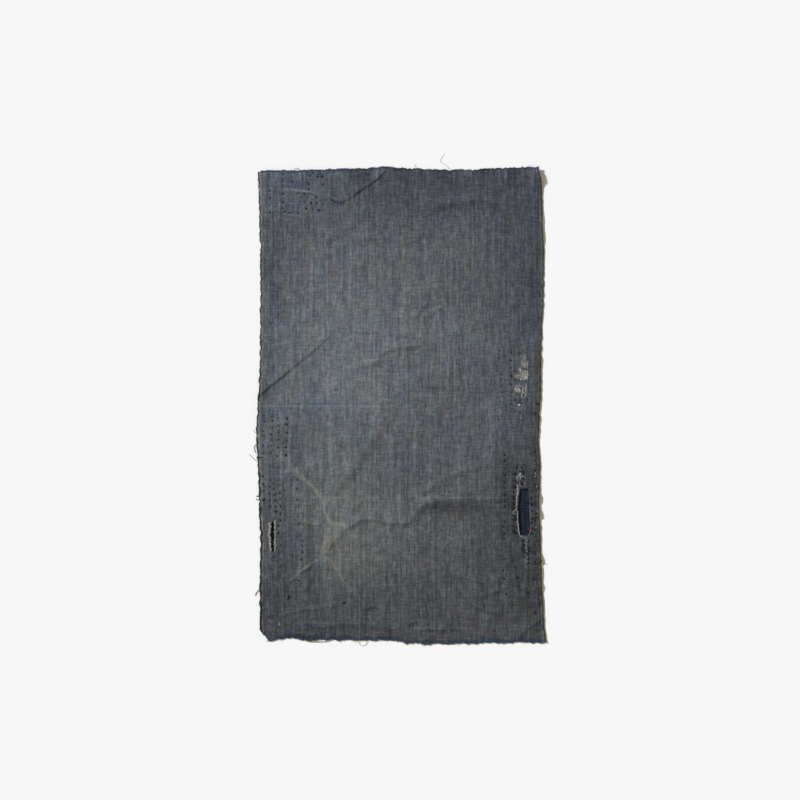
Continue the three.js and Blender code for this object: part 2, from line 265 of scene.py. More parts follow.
# Rows of running stitches, from the first stitch to the last, and their size beside the usual one. A lone
# stitch is a row of one.
SewingRow = namedtuple("SewingRow", "x0 y0 x1 y1 stitches size")
SEWING = [
    SewingRow(-157.3, 276.3, -157, 263, 3, 0.6),
    SewingRow(-157, 256.3, -156.8, 247, 2, 0.85),
    SewingRow(-156.6, 239, -156.6, 239, 1, 0.6),
    SewingRow(-156.8, 230.3, -156.8, 230.3, 1, 1.15),
    SewingRow(-140.7, 275.6, -140.7, 268.3, 2, 0.8),
    SewingRow(-140.7, 253, -141, 242.3, 2, 0.95),
    SewingRow(-140.7, 235.7, -139.3, 231.5, 2, 1.0),
    SewingRow(-105.6, 277.6, -96.4, 277.6, 2, 0.9),
    SewingRow(-108.8, 274.2, -108.8, 274.2, 1, 0.8),
    SewingRow(-100.2, 272.4, -94.2, 273.6, 2, 1.3),
    SewingRow(-109, 265, -93.6, 263.3, 2, 0.9),
    SewingRow(-109.6, 258, -109.6, 258, 1, 0.7),
    SewingRow(-123, 252.7, -108.3, 252.3, 3, 0.95),
    SewingRow(-101, 248.3, -101, 248.3, 1, 1.0),
    SewingRow(-116, 242, -93, 241, 4, 0.9),
    SewingRow(-122, 235.5, -99, 233.7, 4, 1.0),
    SewingRow(-132, 230, -123, 229.5, 2, 1.0),
    SewingRow(-164, -12, -165, -56, 6, 0.8),
    SewingRow(-153.6, -12.5, -155.4, -56, 7, 0.85),
    SewingRow(-145.9, -15.3, -147.9, -60, 6, 1.0),
    SewingRow(-136, -14.7, -137.3, -60.2, 6, 1.15),
    SewingRow(-165, -86, -163, -110, 5, 1.2),
    SewingRow(-165.3, -113.5, -165.3, -113.5, 1, 1.35),
    SewingRow(-156, -90, -157, -121.5, 5, 1.0),
    SewingRow(-152, -93, -149.5, -128, 6, 1.2),
    SewingRow(-144.6, -104, -144.1, -138, 5, 1.0),
    SewingRow(-147.2, -144.5, -146.8, -152, 2, 1.25),
    SewingRow(-143, -160, -143, -203, 6, 0.7),
    SewingRow(-124, -90, -125, -100, 2, 1.0),
    SewingRow(-123.4, -113.5, -122.9, -120.5, 2, 0.7),
    SewingRow(-122.3, -133.6, -122, -141.8, 2, 0.8),
    SewingRow(-119.6, -155.5, -119, -168, 2, 0.7),
    SewingRow(-118.5, -176, -119, -184.7, 2, 1.4),
    SewingRow(-133, -212.5, -120.7, -209.5, 3, 0.7),
    SewingRow(-151, -182, -151, -182, 1, 1.0),
    SewingRow(117.8, 65, 117.8, 56, 2, 0.8),
    SewingRow(119.6, 37, 121.5, 15.6, 4, 0.6),
    SewingRow(120.7, -3.5, 120, -13, 2, 0.7),
    SewingRow(124, -60, 123.6, -122, 9, 1.2),
    SewingRow(123.3, -137, 123.3, -160, 4, 1.3),
    SewingRow(123, -186, 123, -208, 3, 1.3),
    SewingRow(126, -226, 126, -226, 1, 1.4),
    SewingRow(132, 63, 132, 24, 5, 1.0),
    SewingRow(132, 15, 132, 1, 2, 0.9),
    SewingRow(138.2, -75.4, 136.2, -81.4, 2, 1.9),
    SewingRow(137.1, -90, 135.3, -97.9, 2, 2.0),
    SewingRow(134.7, -103.9, 134.1, -121.9, 4, 2.2),
    SewingRow(141.8, -79.4, 140.4, -93.3, 2, 1.9),
    SewingRow(144.2, -74.7, 146, -78.9, 2, 1.3),
    SewingRow(145.8, -82.5, 146.4, -87.6, 2, 1.7),
    SewingRow(144.7, -93.7, 144.7, -93.7, 1, 1.9),
    SewingRow(134.4, -126, 134.6, -150, 5, 1.9),
    SewingRow(137, -129, 137.4, -153, 4, 1.2),
    SewingRow(156.5, -112, 156.5, -155, 7, 1.6),
    SewingRow(160.4, -10, 163.3, 1, 2, 1.3),
    SewingRow(145.4, 44.5, 147.6, 42.5, 2, 0.6),
    SewingRow(143.3, 19.5, 147.6, 17.5, 2, 0.8),
    SewingRow(146.5, 11.5, 146.5, 11.5, 1, 1.1),
    SewingRow(160.5, -57, 160, -208, 16, 1.0),
    SewingRow(146.6, -163, 146.8, -181, 5, 1.8),
    SewingRow(152.6, -161, 152.2, -187, 7, 1.5),
    SewingRow(143, 73, 142, 61.5, 2, 0.7),
    SewingRow(143.2, 2, 142.8, -9, 2, 0.7),
    SewingRow(136.9, 6.6, 151.2, 6.6, 4, 1.1),
    SewingRow(137, -195.5, 140.5, -217, 3, 1.4),
    SewingRow(151.5, -224.5, 151.5, -224.5, 1, 1.4),
    SewingRow(99.5, -241, 99.5, -241, 1, 1.1),
    SewingRow(160.5, -248.5, 160.5, -248.5, 1, 1.6),
    SewingRow(111.5, -269.5, 111.5, -269.5, 1, 1.3),
    SewingRow(61, -271, 61, -271, 1, 0.9),
]
# Dark thread ends that were left in the cloth: from, to, thickness.
KNOTS = [((-133.4, -226.4), (-136, -232.8), 0.85), ((-66.4, -235.2), (-69.8, -237.6), 0.9)]

# Middles of the few stitches in a paler thread.
PALE_STITCHES = [(161, -81.7), (161, -85.3), (162, -97.4), (161.6, -145.6)]
STITCH_LENGTH = 2.2
STITCH_RADIUS = 0.68
STITCH_SLIP = 0.45
SLIP_ALONG_ROW = 0.8
STITCH_SIZES = (0.62, 1.3)

# The dimple that a stitch pulls into the face, with the low rim round it.
PUCKER_DEPTH = 0.55
PUCKER_REACH = 1.6
PUCKER_RIM = 0.16
PUCKER_RIM_OUT = 3.4
PUCKER_RIM_WIDTH = 1.3
PUCKER_END = 6.0

# The painted shade round a stitch of the usual size, in place of the shadow of its needle hole.
STITCH_SHADE_DARK = 0.46
STITCH_SHADE_DARKEST = 0.92
STITCH_SHADE_REACH = 1.15
STITCH_SHADE_END = 5.0

# Small ripples of the four edges: how far out, over what length, and a seed.
Ripple = namedtuple("Ripple", "out step seed")
LEFT_RIPPLES = [Ripple(0.8, 15, 14), Ripple(1.5, 6.5, 3), Ripple(0.35, 2.4, 4)]
RIGHT_RIPPLES = [Ripple(0.9, 6.5, 5), Ripple(0.35, 2.4, 6)]
TOP_RIPPLES = [Ripple(1.2, 8, 7), Ripple(1.2, 3.0, 8), Ripple(0.25, 1.1, 12)]
BOTTOM_RIPPLES = [Ripple(1.8, 9, 9), Ripple(1.3, 2.8, 10), Ripple(0.7, 1.1, 13)]
EDGE_END = 310.0
EDGE_STEP = 0.5

# Unevenness all over the cloth: the size of its humps, a seed, and how high they are. It is less along the
# edges, which curl up a little instead, and the bottom edge stands a little off the surface.
Rumple = namedtuple("Rumple", "across along seed height")
RUMPLES = [Rumple(46, 60, 2.0, 0.35), Rumple(22, 27, 3.5, 0.50), Rumple(11, 14, 5.0, 0.36)]
EDGE_CURL = Rumple(15, 15, 9.0, 0.5)
RUMPLE_LEVEL = 0.75
RUMPLE_LOST_AT_EDGE = 0.93
EDGE_CURL_REACH = 14.0
BOTTOM_LIFT = 0.6
BOTTOM_LIFT_REACH = 9.0
LEAST_HEIGHT = 0.02


# Shape of the cloth

def eased(rows, place, value, at):
    """One column of a table between its rows, eased from row to row."""
    places = np.array([getattr(row, place) for row in rows], float)
    values = np.array([getattr(row, value) for row in rows], float)
    at = np.asarray(at, float)
    low = np.clip(np.searchsorted(places, at) - 1, 0, len(rows) - 2)
    share = np.clip((at - places[low]) / (places[low + 1] - places[low]), 0, 1)
    return values[low] + (values[low + 1] - values[low]) * share * share * (3 - 2 * share)


def fade(distance, reach):
    """1 at no distance, easing to 0 at reach."""
    share = np.clip(distance / reach, 0, 1)
    return 1 - share * share * (3 - 2 * share)


def wander(places, step, seed):
    """Uneven values between about -1 and 1 that change smoothly over step."""
    return np.array([noise.noise((p / step, seed, 0.37 * seed)) for p in places])


def uneven(x, y, across, along, seed):
    """Uneven values between about -1 and 1, in humps of about that size."""
    return np.array([noise.noise((a / across, b / along, seed)) for a, b in zip(x, y)])


edge_places = np.arange(-EDGE_END, EDGE_END + EDGE_STEP, EDGE_STEP)
down_places = CUT_LENGTH / 2 - edge_places
across_places = edge_places + LOOM_WIDTH / 2


def edge_line(values, ripples):
    """One edge of the cloth with its ripples, as a function of the place along it."""
    for ripple in ripples:
        values = values + ripple.out * wander(edge_places, ripple.step, ripple.seed)
    return lambda at: np.interp(at, edge_places, values)


left_side = edge_line(-LOOM_WIDTH / 2 - eased(SELVEDGES, "down", "left_out", down_places), LEFT_RIPPLES)
right_side = edge_line(LOOM_WIDTH / 2 + eased(SELVEDGES, "down", "right_out", down_places), RIGHT_RIPPLES)
top_side = edge_line(CUT_LENGTH / 2 + eased(CUT_EDGES, "across", "top_out", across_places), TOP_RIPPLES)
bottom_side = edge_line(
    -CUT_LENGTH / 2 - eased(CUT_EDGES, "across", "bottom_out", across_places), BOTTOM_RIPPLES)


def rim_distance(x, y):
    """Distances to the nearest selvedge and to the nearest cut edge, negative outside."""
    selvedge = np.minimum(x - left_side(y), right_side(y) - x)
    cut = np.minimum(top_side(x) - y, y - bottom_side(x))
    return selvedge, cut


def hole_sides(hole, y):
    """The left and right sides of a hole at some heights."""
    down = hole.top - np.asarray(y, float)
    fray = HOLE_FRAY * wander(np.ravel(down), HOLE_FRAY_STEP, HOLE_SEED + hole.x).reshape(np.shape(down))
    left = hole.x + eased(hole.sections, "down", "left", down) + fray
    right = hole.x + eased(hole.sections, "down", "right", down) - fray
    return left, right


def hole_bottom(hole):
    """The Y at which a hole ends."""
    return hole.top - hole.sections[-1].down


def in_hole(hole, x, y, margin):
    """True in a hole that is larger all round by margin."""
    left, right = hole_sides(hole, y)
    beside = (x > left - margin) & (x < right + margin)
    return beside & (y > hole_bottom(hole) - margin) & (y < hole.top + margin)


def near_hole(hole, x, y, reach):
    """True near a hole, by the box round it."""
    beside = abs(x - hole.x) < HOLE_HALF_WIDTH + reach
    return beside & (y > hole_bottom(hole) - reach) & (y < hole.top + reach)


def past_patch(low, high, at):
    """How far places lie past the level cloth over a patch, along one axis."""
    return np.maximum(np.maximum(np.maximum(low - at, at - high), 0) - LEVEL_PAST_PATCH, 0)


def patch_lift(x, y):
    """How far the patches lift the cloth. It comes down again at the selvedges."""
    lift = np.zeros_like(x)
    for patch in PATCHES:
        fade_x = fade(past_patch(patch.left, patch.right, x), RAMP_PAST_PATCH)
        fade_y = fade(past_patch(patch.bottom, patch.top, y), RAMP_PAST_PATCH)
        lift = np.maximum(lift, PATCH_LIFT * fade_x * fade_y)
    selvedge, _ = rim_distance(x, y)
    run_out = np.where(x > 0, LIFT_RUN_OUT_RIGHT, LIFT_RUN_OUT_LEFT)
    return lift * (1 - LIFT_LOST_AT_SELVEDGE * fade(np.maximum(selvedge, 0), run_out))


def selvedge_lift(x, y):
    """How far the cloth is lifted at its two selvedges."""
    down = CUT_LENGTH / 2 - y
    left = eased(SELVEDGES, "down", "left_lift", down)
    right = eased(RIGHT_WAVES, "down", "lift", down)
    from_left = np.maximum(x - left_side(y), 0)
    from_right = np.maximum(right_side(y) - x, 0)
    return left * fade(from_left, LIFT_RUN_IN) + right * fade(from_right, LIFT_RUN_IN)


def smooth_path(corners, steps):
    """A curve through a few corners, as points."""
    corners = np.asarray(corners, float)
    padded = np.r_[[2 * corners[0] - corners[1]], corners, [2 * corners[-1] - corners[-2]]]
    points = []
    for i in range(len(corners) - 1):
        a, b, c, d = padded[i:i + 4]
        for share in np.linspace(0, 1, steps, endpoint=False):
            points.append(0.5 * (2 * b + (c - a) * share + (2 * a - 5 * b + 4 * c - d) * share ** 2
                                 + (3 * b - a - 3 * c + d) * share ** 3))
    points.append(corners[-1])
    return np.array(points)


def crease_line(crease):
    """The crease as points, a little unsteady between its corners."""
    line = smooth_path(crease.corners, CREASE_BEND_STEPS)
    along = np.gradient(line, axis=0)
    along /= np.linalg.norm(along, axis=1)[:, None]
    shake = CREASE_SHAKE * wander(np.arange(len(line)), CREASE_SHAKE_STEPS, crease.corners[0][0])
    return line + shake[:, None] * np.c_[-along[:, 1], along[:, 0]]


def crease_place(line, x, y):
    """For each point: its distance from the line, which side it is on, and its share along the line."""
    best = np.full(x.shape, 1e9)
    side = np.zeros(x.shape)
    along = np.zeros(x.shape)
    for step in range(len(line) - 1):
        (ax, ay), (bx, by) = line[step], line[step + 1]
        dx, dy = bx - ax, by - ay
        share = np.clip(((x - ax) * dx + (y - ay) * dy) / (dx * dx + dy * dy), 0, 1)
        away_x, away_y = x - ax - share * dx, y - ay - share * dy
        distance = np.hypot(away_x, away_y)
        nearer = distance < best
        best = np.where(nearer, distance, best)
        side = np.where(nearer, dx * away_y - dy * away_x, side)
        along = np.where(nearer, (step + share) / (len(line) - 1), along)
    return best, side, along


CREASE_LINES = [crease_line(crease) for crease in CREASES]


def crease_strength(crease, along):
    """How strong a crease is along its length: it comes and goes, and dies out at its ends."""
    ends = np.clip(np.minimum(along, 1 - along) / CREASE_END_SHARE, 0, 1)
    varies = CREASE_VARIES * wander(along, CREASE_VARIES_OVER, crease.corners[0][1])
    return ends * np.clip(CREASE_USUAL + varies, *CREASE_LIMITS)


def near_crease(line, x, y, reach):
    """True near a crease, by the box round its line."""
    low, high = line.min(0) - reach, line.max(0) + reach
    return (x > low[0]) & (x < high[0]) & (y > low[1]) & (y < high[1])


def crease_lift(x, y):
    """How far the creases lift the cloth."""
    lift = np.zeros_like(x)
    for crease, line in zip(CREASES, CREASE_LINES):
        near = near_crease(line, x, y, crease.rise)
        if near.any():
            distance, side, along = crease_place(line, x[near], y[near])
            slope = fade(distance, np.where(side > 0, crease.rise, crease.fall))
            lift[near] = np.maximum(lift[near], crease.height * crease_strength(crease, along) * slope)
    return lift


def crease_painted_shade(x, y):
    """Painted shade along the crease lines, in place of the shadow in each fold."""
    dark = np.zeros_like(x)
    for crease, line in zip(CREASES, CREASE_LINES):
        near = near_crease(line, x, y, CREASE_LINE_REACH)
        if near.any():
            distance, _, along = crease_place(line, x[near], y[near])
            line_shade = np.exp(-(distance / CREASE_LINE_WIDTH) ** 2)
            dark[near] = np.maximum(dark[near], crease.dark * crease_strength(crease, along) * line_shade)
    return dark


def crease_painted_light(x, y):
    """Painted light along the crease ridges (+) and painted shade in the drop behind them (-)."""
    painted_light = np.zeros_like(x)
    for crease, line in zip(CREASES, CREASE_LINES):
        near = near_crease(line, x, y, crease.fall + CREASE_LINE_REACH)
        if near.any():
            distance, side, along = crease_place(line, x[near], y[near])
            ridge = RIDGE_PAINTED_LIGHT * np.exp(-((distance - RIDGE_OUT) / RIDGE_OUT) ** 2)
            drop = fade(abs(distance - DROP_MIDDLE * crease.fall), DROP_REACH * crease.fall)
            softness = crease.height * (1 - LINE_SHADE_SPARES_LIGHT * crease.dark)
            painted_light[near] += softness * crease_strength(crease, along) * np.where(side > 0, ridge, -drop)
    return painted_light


Stitch = namedtuple("Stitch", "middle row size")


def stitch_places():
    """Every stitch on the face, as uneven as hand sewing: its middle, its row's number and its size."""
    places = []
    for row_number, row in enumerate(SEWING):
        run = np.array([row.x1 - row.x0, row.y1 - row.y0])
        for number in range(row.stitches):
            middle = np.array([row.x0, row.y0]) + number / max(row.stitches - 1, 1) * run
            size = row.size
            if row.stitches > 1:
                middle += rng.normal(0, STITCH_SLIP, 2)
            if row.stitches > 2:
                middle += run / np.hypot(*run) * rng.normal(0, SLIP_ALONG_ROW)
                size *= rng.uniform(*STITCH_SIZES)
            places.append(Stitch(middle, row_number, size))
    return places


STITCHES = stitch_places()


def pucker(x, y):
    """The small dimples that the stitches pull into the face."""
    dip = np.zeros_like(x)
    for middle, _, _ in STITCHES:
        square = (x - middle[0]) ** 2 + (y - middle[1]) ** 2
        near = square < PUCKER_END ** 2
        if near.any():
            r = np.sqrt(square[near])
            rim = PUCKER_RIM * np.exp(-((r - PUCKER_RIM_OUT) / PUCKER_RIM_WIDTH) ** 2)
            dip[near] += rim - PUCKER_DEPTH * np.exp(-(r / PUCKER_REACH) ** 2)
    return dip


def stitch_shade(x, y):
    """Painted shade round the stitches, in place of the shadow of their needle holes."""
    shade = np.zeros_like(x)
    for middle, _, size in STITCHES:
        square = (x - middle[0]) ** 2 + (y - middle[1]) ** 2
        near = square < STITCH_SHADE_END ** 2
        if near.any():
            darkest = np.minimum(STITCH_SHADE_DARK * size, STITCH_SHADE_DARKEST)
            here = darkest * np.exp(-square[near] / (STITCH_SHADE_REACH * size) ** 2)
            shade[near] = np.maximum(shade[near], here)
    return shade


def rumple(x, y):
    """Slight unevenness all over, less along the edges, which curl up a little."""
    height = RUMPLE_LEVEL
    for humps in RUMPLES:
        height = height + humps.height * uneven(x, y, humps.across, humps.along, humps.seed)
    selvedge, cut = rim_distance(x, y)
    edge = fade(np.maximum(np.minimum(selvedge, cut), 0), EDGE_CURL_REACH)
    curl = uneven(x, y, EDGE_CURL.across, EDGE_CURL.along, EDGE_CURL.seed)
    level = height * (1 - RUMPLE_LOST_AT_EDGE * edge) + EDGE_CURL.height * edge * np.maximum(curl, 0)
    return level + BOTTOM_LIFT * fade(np.maximum(y - bottom_side(x), 0), BOTTOM_LIFT_REACH)


def underside(x, y):
    """The height of the cloth's underside."""
    x, y = np.asarray(x, float), np.asarray(y, float)
    height = patch_lift(x, y) + selvedge_lift(x, y) + crease_lift(x, y) + rumple(x, y) + pucker(x, y)
    return np.maximum(height, LEAST_HEIGHT)


# Making meshes

SMOOTH_TO = math.radians(55)
HEX_ROW_SHARE = 0.866
HEX_JITTER = 0.12
MERGE_DISTANCE = 1e-6
SLIVER = 1e-7
NO_LENGTH = 1e-9
STEEP = 0.9


def piece(name, vertices, faces, material, slot=None):
    """A joined mesh, given in millimetres, that rides on the cloth's one body."""
    mesh = bpy.data.meshes.new(name)
    mesh.from_pydata((np.asarray(vertices) * MM).tolist(), [], [list(face) for face in faces])
    mesh.validate()
    mesh.shade_smooth()
    mesh.set_sharp_from_angle(angle=SMOOTH_TO)
    mesh.materials.append(material)
    made = bpy.data.objects.new(name, mesh)
    bpy.context.collection.objects.link(made)
    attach(made, "root")
    return made


def note(made, name, values):
    """Keeps a value at each point of a mesh, for its material."""
    kept = made.data.attributes.new(name, "FLOAT", "POINT")
    kept.data.foreach_set("value", np.asarray(values, np.float32))


def hex_points(x_low, x_high, y_low, y_high, step):
    """Points over a box in staggered rows, each a little out of place."""
    rows = np.arange(y_low, y_high, step * HEX_ROW_SHARE)
    columns = np.arange(x_low, x_high, step)
    x, y = np.meshgrid(columns, rows)
    x = x + 0.5 * step * (np.arange(len(rows)) % 2)[:, None]
    spread = HEX_JITTER * step
    return np.c_[x.ravel(), y.ravel()] + rng.uniform(-spread, spread, (x.size, 2))


def sheet_mesh(points, loops, inside, low, high):
    """A closed sheet over points in plan. loops holds the points' numbers round each rim, the cloth on the
    left. inside tells which places are cloth, and low and high are the heights of the two faces."""
    edges = [(loop[i], loop[(i + 1) % len(loop)]) for loop in loops for i in range(len(loop))]
    found = delaunay_2d_cdt([tuple(p) for p in points], edges, [], 0, MERGE_DISTANCE)
    plan = np.array([tuple(p) for p in found[0]])
    triangles = np.array(found[2])
    middles = plan[triangles].mean(1)
    triangles = triangles[inside(middles[:, 0], middles[:, 1])]
    corner = plan[triangles]
    turn = np.cross(corner[:, 1] - corner[:, 0], corner[:, 2] - corner[:, 0])
    triangles = triangles[abs(turn) > SLIVER]
    turn = turn[abs(turn) > SLIVER]
    triangles[turn < 0] = triangles[turn < 0][:, ::-1]
    count = len(plan)
    bottom = np.c_[plan, low(plan[:, 0], plan[:, 1])]
    top = np.c_[plan, high(plan[:, 0], plan[:, 1])]
    sides = np.r_[triangles[:, [0, 1]], triangles[:, [1, 2]], triangles[:, [2, 0]]]
    _, first, times = np.unique(np.sort(sides, axis=1), axis=0, return_index=True, return_counts=True)
    rim = sides[first[times == 1]]
    faces = [(a + count, b + count, c + count) for a, b, c in triangles]
    faces += [(a, c, b) for a, b, c in triangles]
    faces += [(a, b, b + count, a + count) for a, b in rim]
    return np.r_[bottom, top], faces, plan


def tube_mesh(paths, sides):
    """Yarns joined into one mesh. A path is its points and the radius at each."""
    vertices, faces = [], []
    turns = np.linspace(0, 2 * np.pi, sides, endpoint=False)
    sideways, upwards = np.cos(turns)[None, :, None], np.sin(turns)[None, :, None]
    start = 0
    for points, radii in paths:
        points = np.asarray(points, float)
        tangent = np.gradient(points, axis=0)
        tangent /= np.linalg.norm(tangent, axis=1)[:, None] + NO_LENGTH
        upright = abs(tangent[:, 2]) > STEEP
        reference = np.where(upright[:, None], [1.0, 0, 0], [0, 0, 1.0])
        across = np.cross(tangent, reference)
        across /= np.linalg.norm(across, axis=1)[:, None] + NO_LENGTH
        up = np.cross(across, tangent)
        ring = across[:, None, :] * sideways + up[:, None, :] * upwards
        skin = points[:, None, :] + ring * np.asarray(radii, float)[:, None, None]
        vertices.append(skin.reshape(-1, 3))
        count = len(points)
        for i in range(count - 1):
            for j in range(sides):
                a, b = start + i * sides + j, start + i * sides + (j + 1) % sides
                faces.append((a, a + sides, b + sides, b))
        faces.append(tuple(start + j for j in range(sides)))
        faces.append(tuple(start + (count - 1) * sides + j for j in reversed(range(sides))))
        start += count * sides
    return np.concatenate(vertices), faces


# Materials

def linear(red, green, blue):
    """An 8-bit display colour as a shader colour."""

    def one(value):
        value /= 255
        return value / 12.92 if value <= 0.04045 else ((value + 0.055) / 1.055) ** 2.4

    return (one(red), one(green), one(blue), 1.0)


def put(tree, kind, settings, inputs):
    """A node with its settings made and its inputs set or linked."""
    made = tree.nodes.new(kind)
    for name, value in settings.items():
        setattr(made, name, value)
    for name, value in inputs.items():
        if isinstance(value, bpy.types.NodeSocket):
            tree.links.new(value, made.inputs[name])
        else:
            made.inputs[name].default_value = value
    return made


def calc(tree, operation, *values):
    """A sum on numbers."""
    return put(tree, "ShaderNodeMath", {"operation": operation}, dict(enumerate(values))).outputs[0]


def vector(tree, operation, *values):
    """A sum on vectors."""
    made = put(tree, "ShaderNodeVectorMath", {"operation": operation}, dict(enumerate(values)))
    return made.outputs["Value" if operation in ("LENGTH", "DOT_PRODUCT") else "Vector"]


def mix(tree, blend, amount, first, second):
    """Two colours mixed. With MULTIPLY, the second is a tint that is laid on by amount."""
    settings = {"data_type": "RGBA", "blend_type": blend}
    return put(tree, "ShaderNodeMix", settings, {0: amount, 6: first, 7: second}).outputs[2]


def rescale(tree, value, low, high, to_low, to_high):
    """A value eased from one range to another."""
    return put(
        tree, "ShaderNodeMapRange", {"interpolation_type": "SMOOTHSTEP"},
        {0: value, 1: low, 2: high, 3: to_low, 4: to_high},
    ).outputs[0]


def point_value(tree, name):
    """A value that note() has kept at the points of the mesh."""
    return put(tree, "ShaderNodeAttribute", {"attribute_name": name}, {}).outputs["Fac"]


def grain(tree, place, stretch, detail, seed):
    """Noise stretched over the given lengths, centred on zero."""
    scaled = vector(tree, "MULTIPLY", place, tuple(1 / length for length in stretch))
    moved = vector(tree, "ADD", scaled, (seed, 1.7 * seed, 0.6 * seed))
    inputs = {"Vector": moved, "Scale": 1.0, "Detail": detail, "Roughness": 0.55}
    return calc(tree, "SUBTRACT", put(tree, "ShaderNodeTexNoise", {}, inputs).outputs[0], 0.5)


def new_group(name, inputs, outputs):
    """A node group with its named inputs and outputs, and its own input and output nodes."""
    tree = bpy.data.node_groups.new(name, "ShaderNodeTree")
    for socket_name, kind, default in inputs:
        made = tree.interface.new_socket(socket_name, in_out="INPUT", socket_type=kind)
        made.default_value = default
    for socket_name, kind in outputs:
        tree.interface.new_socket(socket_name, in_out="OUTPUT", socket_type=kind)
    return tree, tree.nodes.new("NodeGroupInput"), tree.nodes.new("NodeGroupOutput")


def place_group(tree, group, inputs):
    """A node that uses a node group."""
    return put(tree, "ShaderNodeGroup", {"node_tree": group}, inputs)


def plain_weave_group():
    """Warp and weft passing over and under each other."""
    tree, given, out = new_group(
        "plain_weave",
        [("Position", "NodeSocketVector", (0, 0, 0)), ("Warp Pitch", "NodeSocketFloat", WARP_PITCH * MM),
         ("Weft Pitch", "NodeSocketFloat", WEFT_PITCH * MM), ("Unevenness", "NodeSocketFloat", 0.5)],
        [("Height", "NodeSocketFloat"), ("Warp On Top", "NodeSocketFloat")],
    )
    place = given.outputs["Position"]
    axes = put(tree, "ShaderNodeSeparateXYZ", {}, {0: place})

    def yarn_number(axis, pitch, stretch, seed):
        """How many yarns lie between the origin and here, the yarns swaying a little."""
        sway = calc(tree, "MULTIPLY", grain(tree, place, stretch, 1, seed), given.outputs["Unevenness"])
        return calc(tree, "ADD", calc(tree, "DIVIDE", axis, pitch), calc(tree, "MULTIPLY", sway, 4.0))

    def parity(number):
        odd = calc(tree, "FLOORED_MODULO", calc(tree, "FLOOR", number), 2.0)
        return calc(tree, "SUBTRACT", 1.0, calc(tree, "MULTIPLY", odd, 2.0))

    def crown(wave, over, rise, level):
        """The height of a yarn: round across, and up or down where it passes the other one."""
        height = calc(tree, "MULTIPLY_ADD", over, rise, level)
        return calc(tree, "MULTIPLY", calc(tree, "ABSOLUTE", wave), height)

    warp = yarn_number(axes.outputs[0], given.outputs["Warp Pitch"], (0.004, 0.012, 1), 2.1)
    weft = yarn_number(axes.outputs[1], given.outputs["Weft Pitch"], (0.012, 0.004, 1), 4.6)
    warp_wave = calc(tree, "SINE", calc(tree, "MULTIPLY", warp, math.pi))
    weft_wave = calc(tree, "SINE", calc(tree, "MULTIPLY", weft, math.pi))
    warp_height = crown(warp_wave, calc(tree, "MULTIPLY", weft_wave, parity(warp)), 0.42, 0.58)
    weft_height = crown(weft_wave, calc(tree, "MULTIPLY", warp_wave, parity(weft)), -0.42, 0.52)
    tree.links.new(calc(tree, "MAXIMUM", warp_height, weft_height), out.inputs["Height"])
    warp_higher = calc(tree, "SUBTRACT", warp_height, weft_height)
    tree.links.new(rescale(tree, warp_higher, -0.12, 0.12, 0, 1), out.inputs["Warp On Top"])
    return tree


def yarn_streaks_group():
    """Tone and warmth that change from yarn to yarn and along each yarn, centred on zero."""
    tree, given, out = new_group(
        "yarn_streaks",
        [("Position", "NodeSocketVector", (0, 0, 0)), ("Warp Contrast", "NodeSocketFloat", 1.0),
         ("Weft Contrast", "NodeSocketFloat", 1.0), ("Grain Contrast", "NodeSocketFloat", 1.0)],
        [("Tone", "NodeSocketFloat"), ("Warmth", "NodeSocketFloat"), ("Greenness", "NodeSocketFloat")],
    )
    place = given.outputs["Position"]
    long_warp = grain(tree, place, (0.0023, 0.120, 1), 1, 1.3)
    short_warp = grain(tree, place, (0.0023, 0.0120, 1), 1, 3.9)
    weft = grain(tree, place, (0.0110, 0.0019, 1), 1, 6.2)
    speckle = grain(tree, place, (0.0021, 0.0026, 1), 1, 8.8)
    warp = calc(tree, "MULTIPLY_ADD", long_warp, 0.75, short_warp)
    tone = calc(tree, "MULTIPLY", warp, given.outputs["Warp Contrast"])
    tone = calc(tree, "MULTIPLY_ADD", weft, given.outputs["Weft Contrast"], tone)
    tone = calc(tree, "MULTIPLY_ADD", speckle, given.outputs["Grain Contrast"], tone)
    cloud = grain(tree, place, (0.011, 0.021, 1), 2, 17.4)
    cloud_contrast = calc(tree, "MULTIPLY", given.outputs["Warp Contrast"], 0.30)
    tone = calc(tree, "MULTIPLY_ADD", cloud, cloud_contrast, tone)
    tree.links.new(tone, out.inputs["Tone"])
    hue_warp = grain(tree, place, (0.0080, 0.0150, 1), 1, 11.5)
    hue_broad = grain(tree, place, (0.010, 0.075, 1), 1, 13.1)
    warmth = calc(tree, "MULTIPLY_ADD", tone, 0.2, calc(tree, "ADD", hue_warp, hue_broad))
    tree.links.new(warmth, out.inputs["Warmth"])
    green_fine = grain(tree, place, (0.0070, 0.0100, 1), 1, 15.2)
    green_broad = grain(tree, place, (0.014, 0.028, 1), 1, 19.7)
    tree.links.new(calc(tree, "ADD", green_fine, green_broad), out.inputs["Greenness"])
    return tree


def soft_spot_group():
    """A round or oval mark that fades out at its reach."""
    tree, given, out = new_group(
        "soft_spot",
        [("Position", "NodeSocketVector", (0, 0, 0)), ("Centre", "NodeSocketVector", (0, 0, 0)),
         ("Reach", "NodeSocketVector", (0.01, 0.01, 1))],
        [("Mask", "NodeSocketFloat")],
    )
    away = vector(tree, "SUBTRACT", given.outputs["Position"], given.outputs["Centre"])
    flat = vector(tree, "MULTIPLY", vector(tree, "DIVIDE", away, given.outputs["Reach"]), (1, 1, 0))
    tree.links.new(rescale(tree, vector(tree, "LENGTH", flat), 0.15, 1.0, 1, 0), out.inputs["Mask"])
    return tree


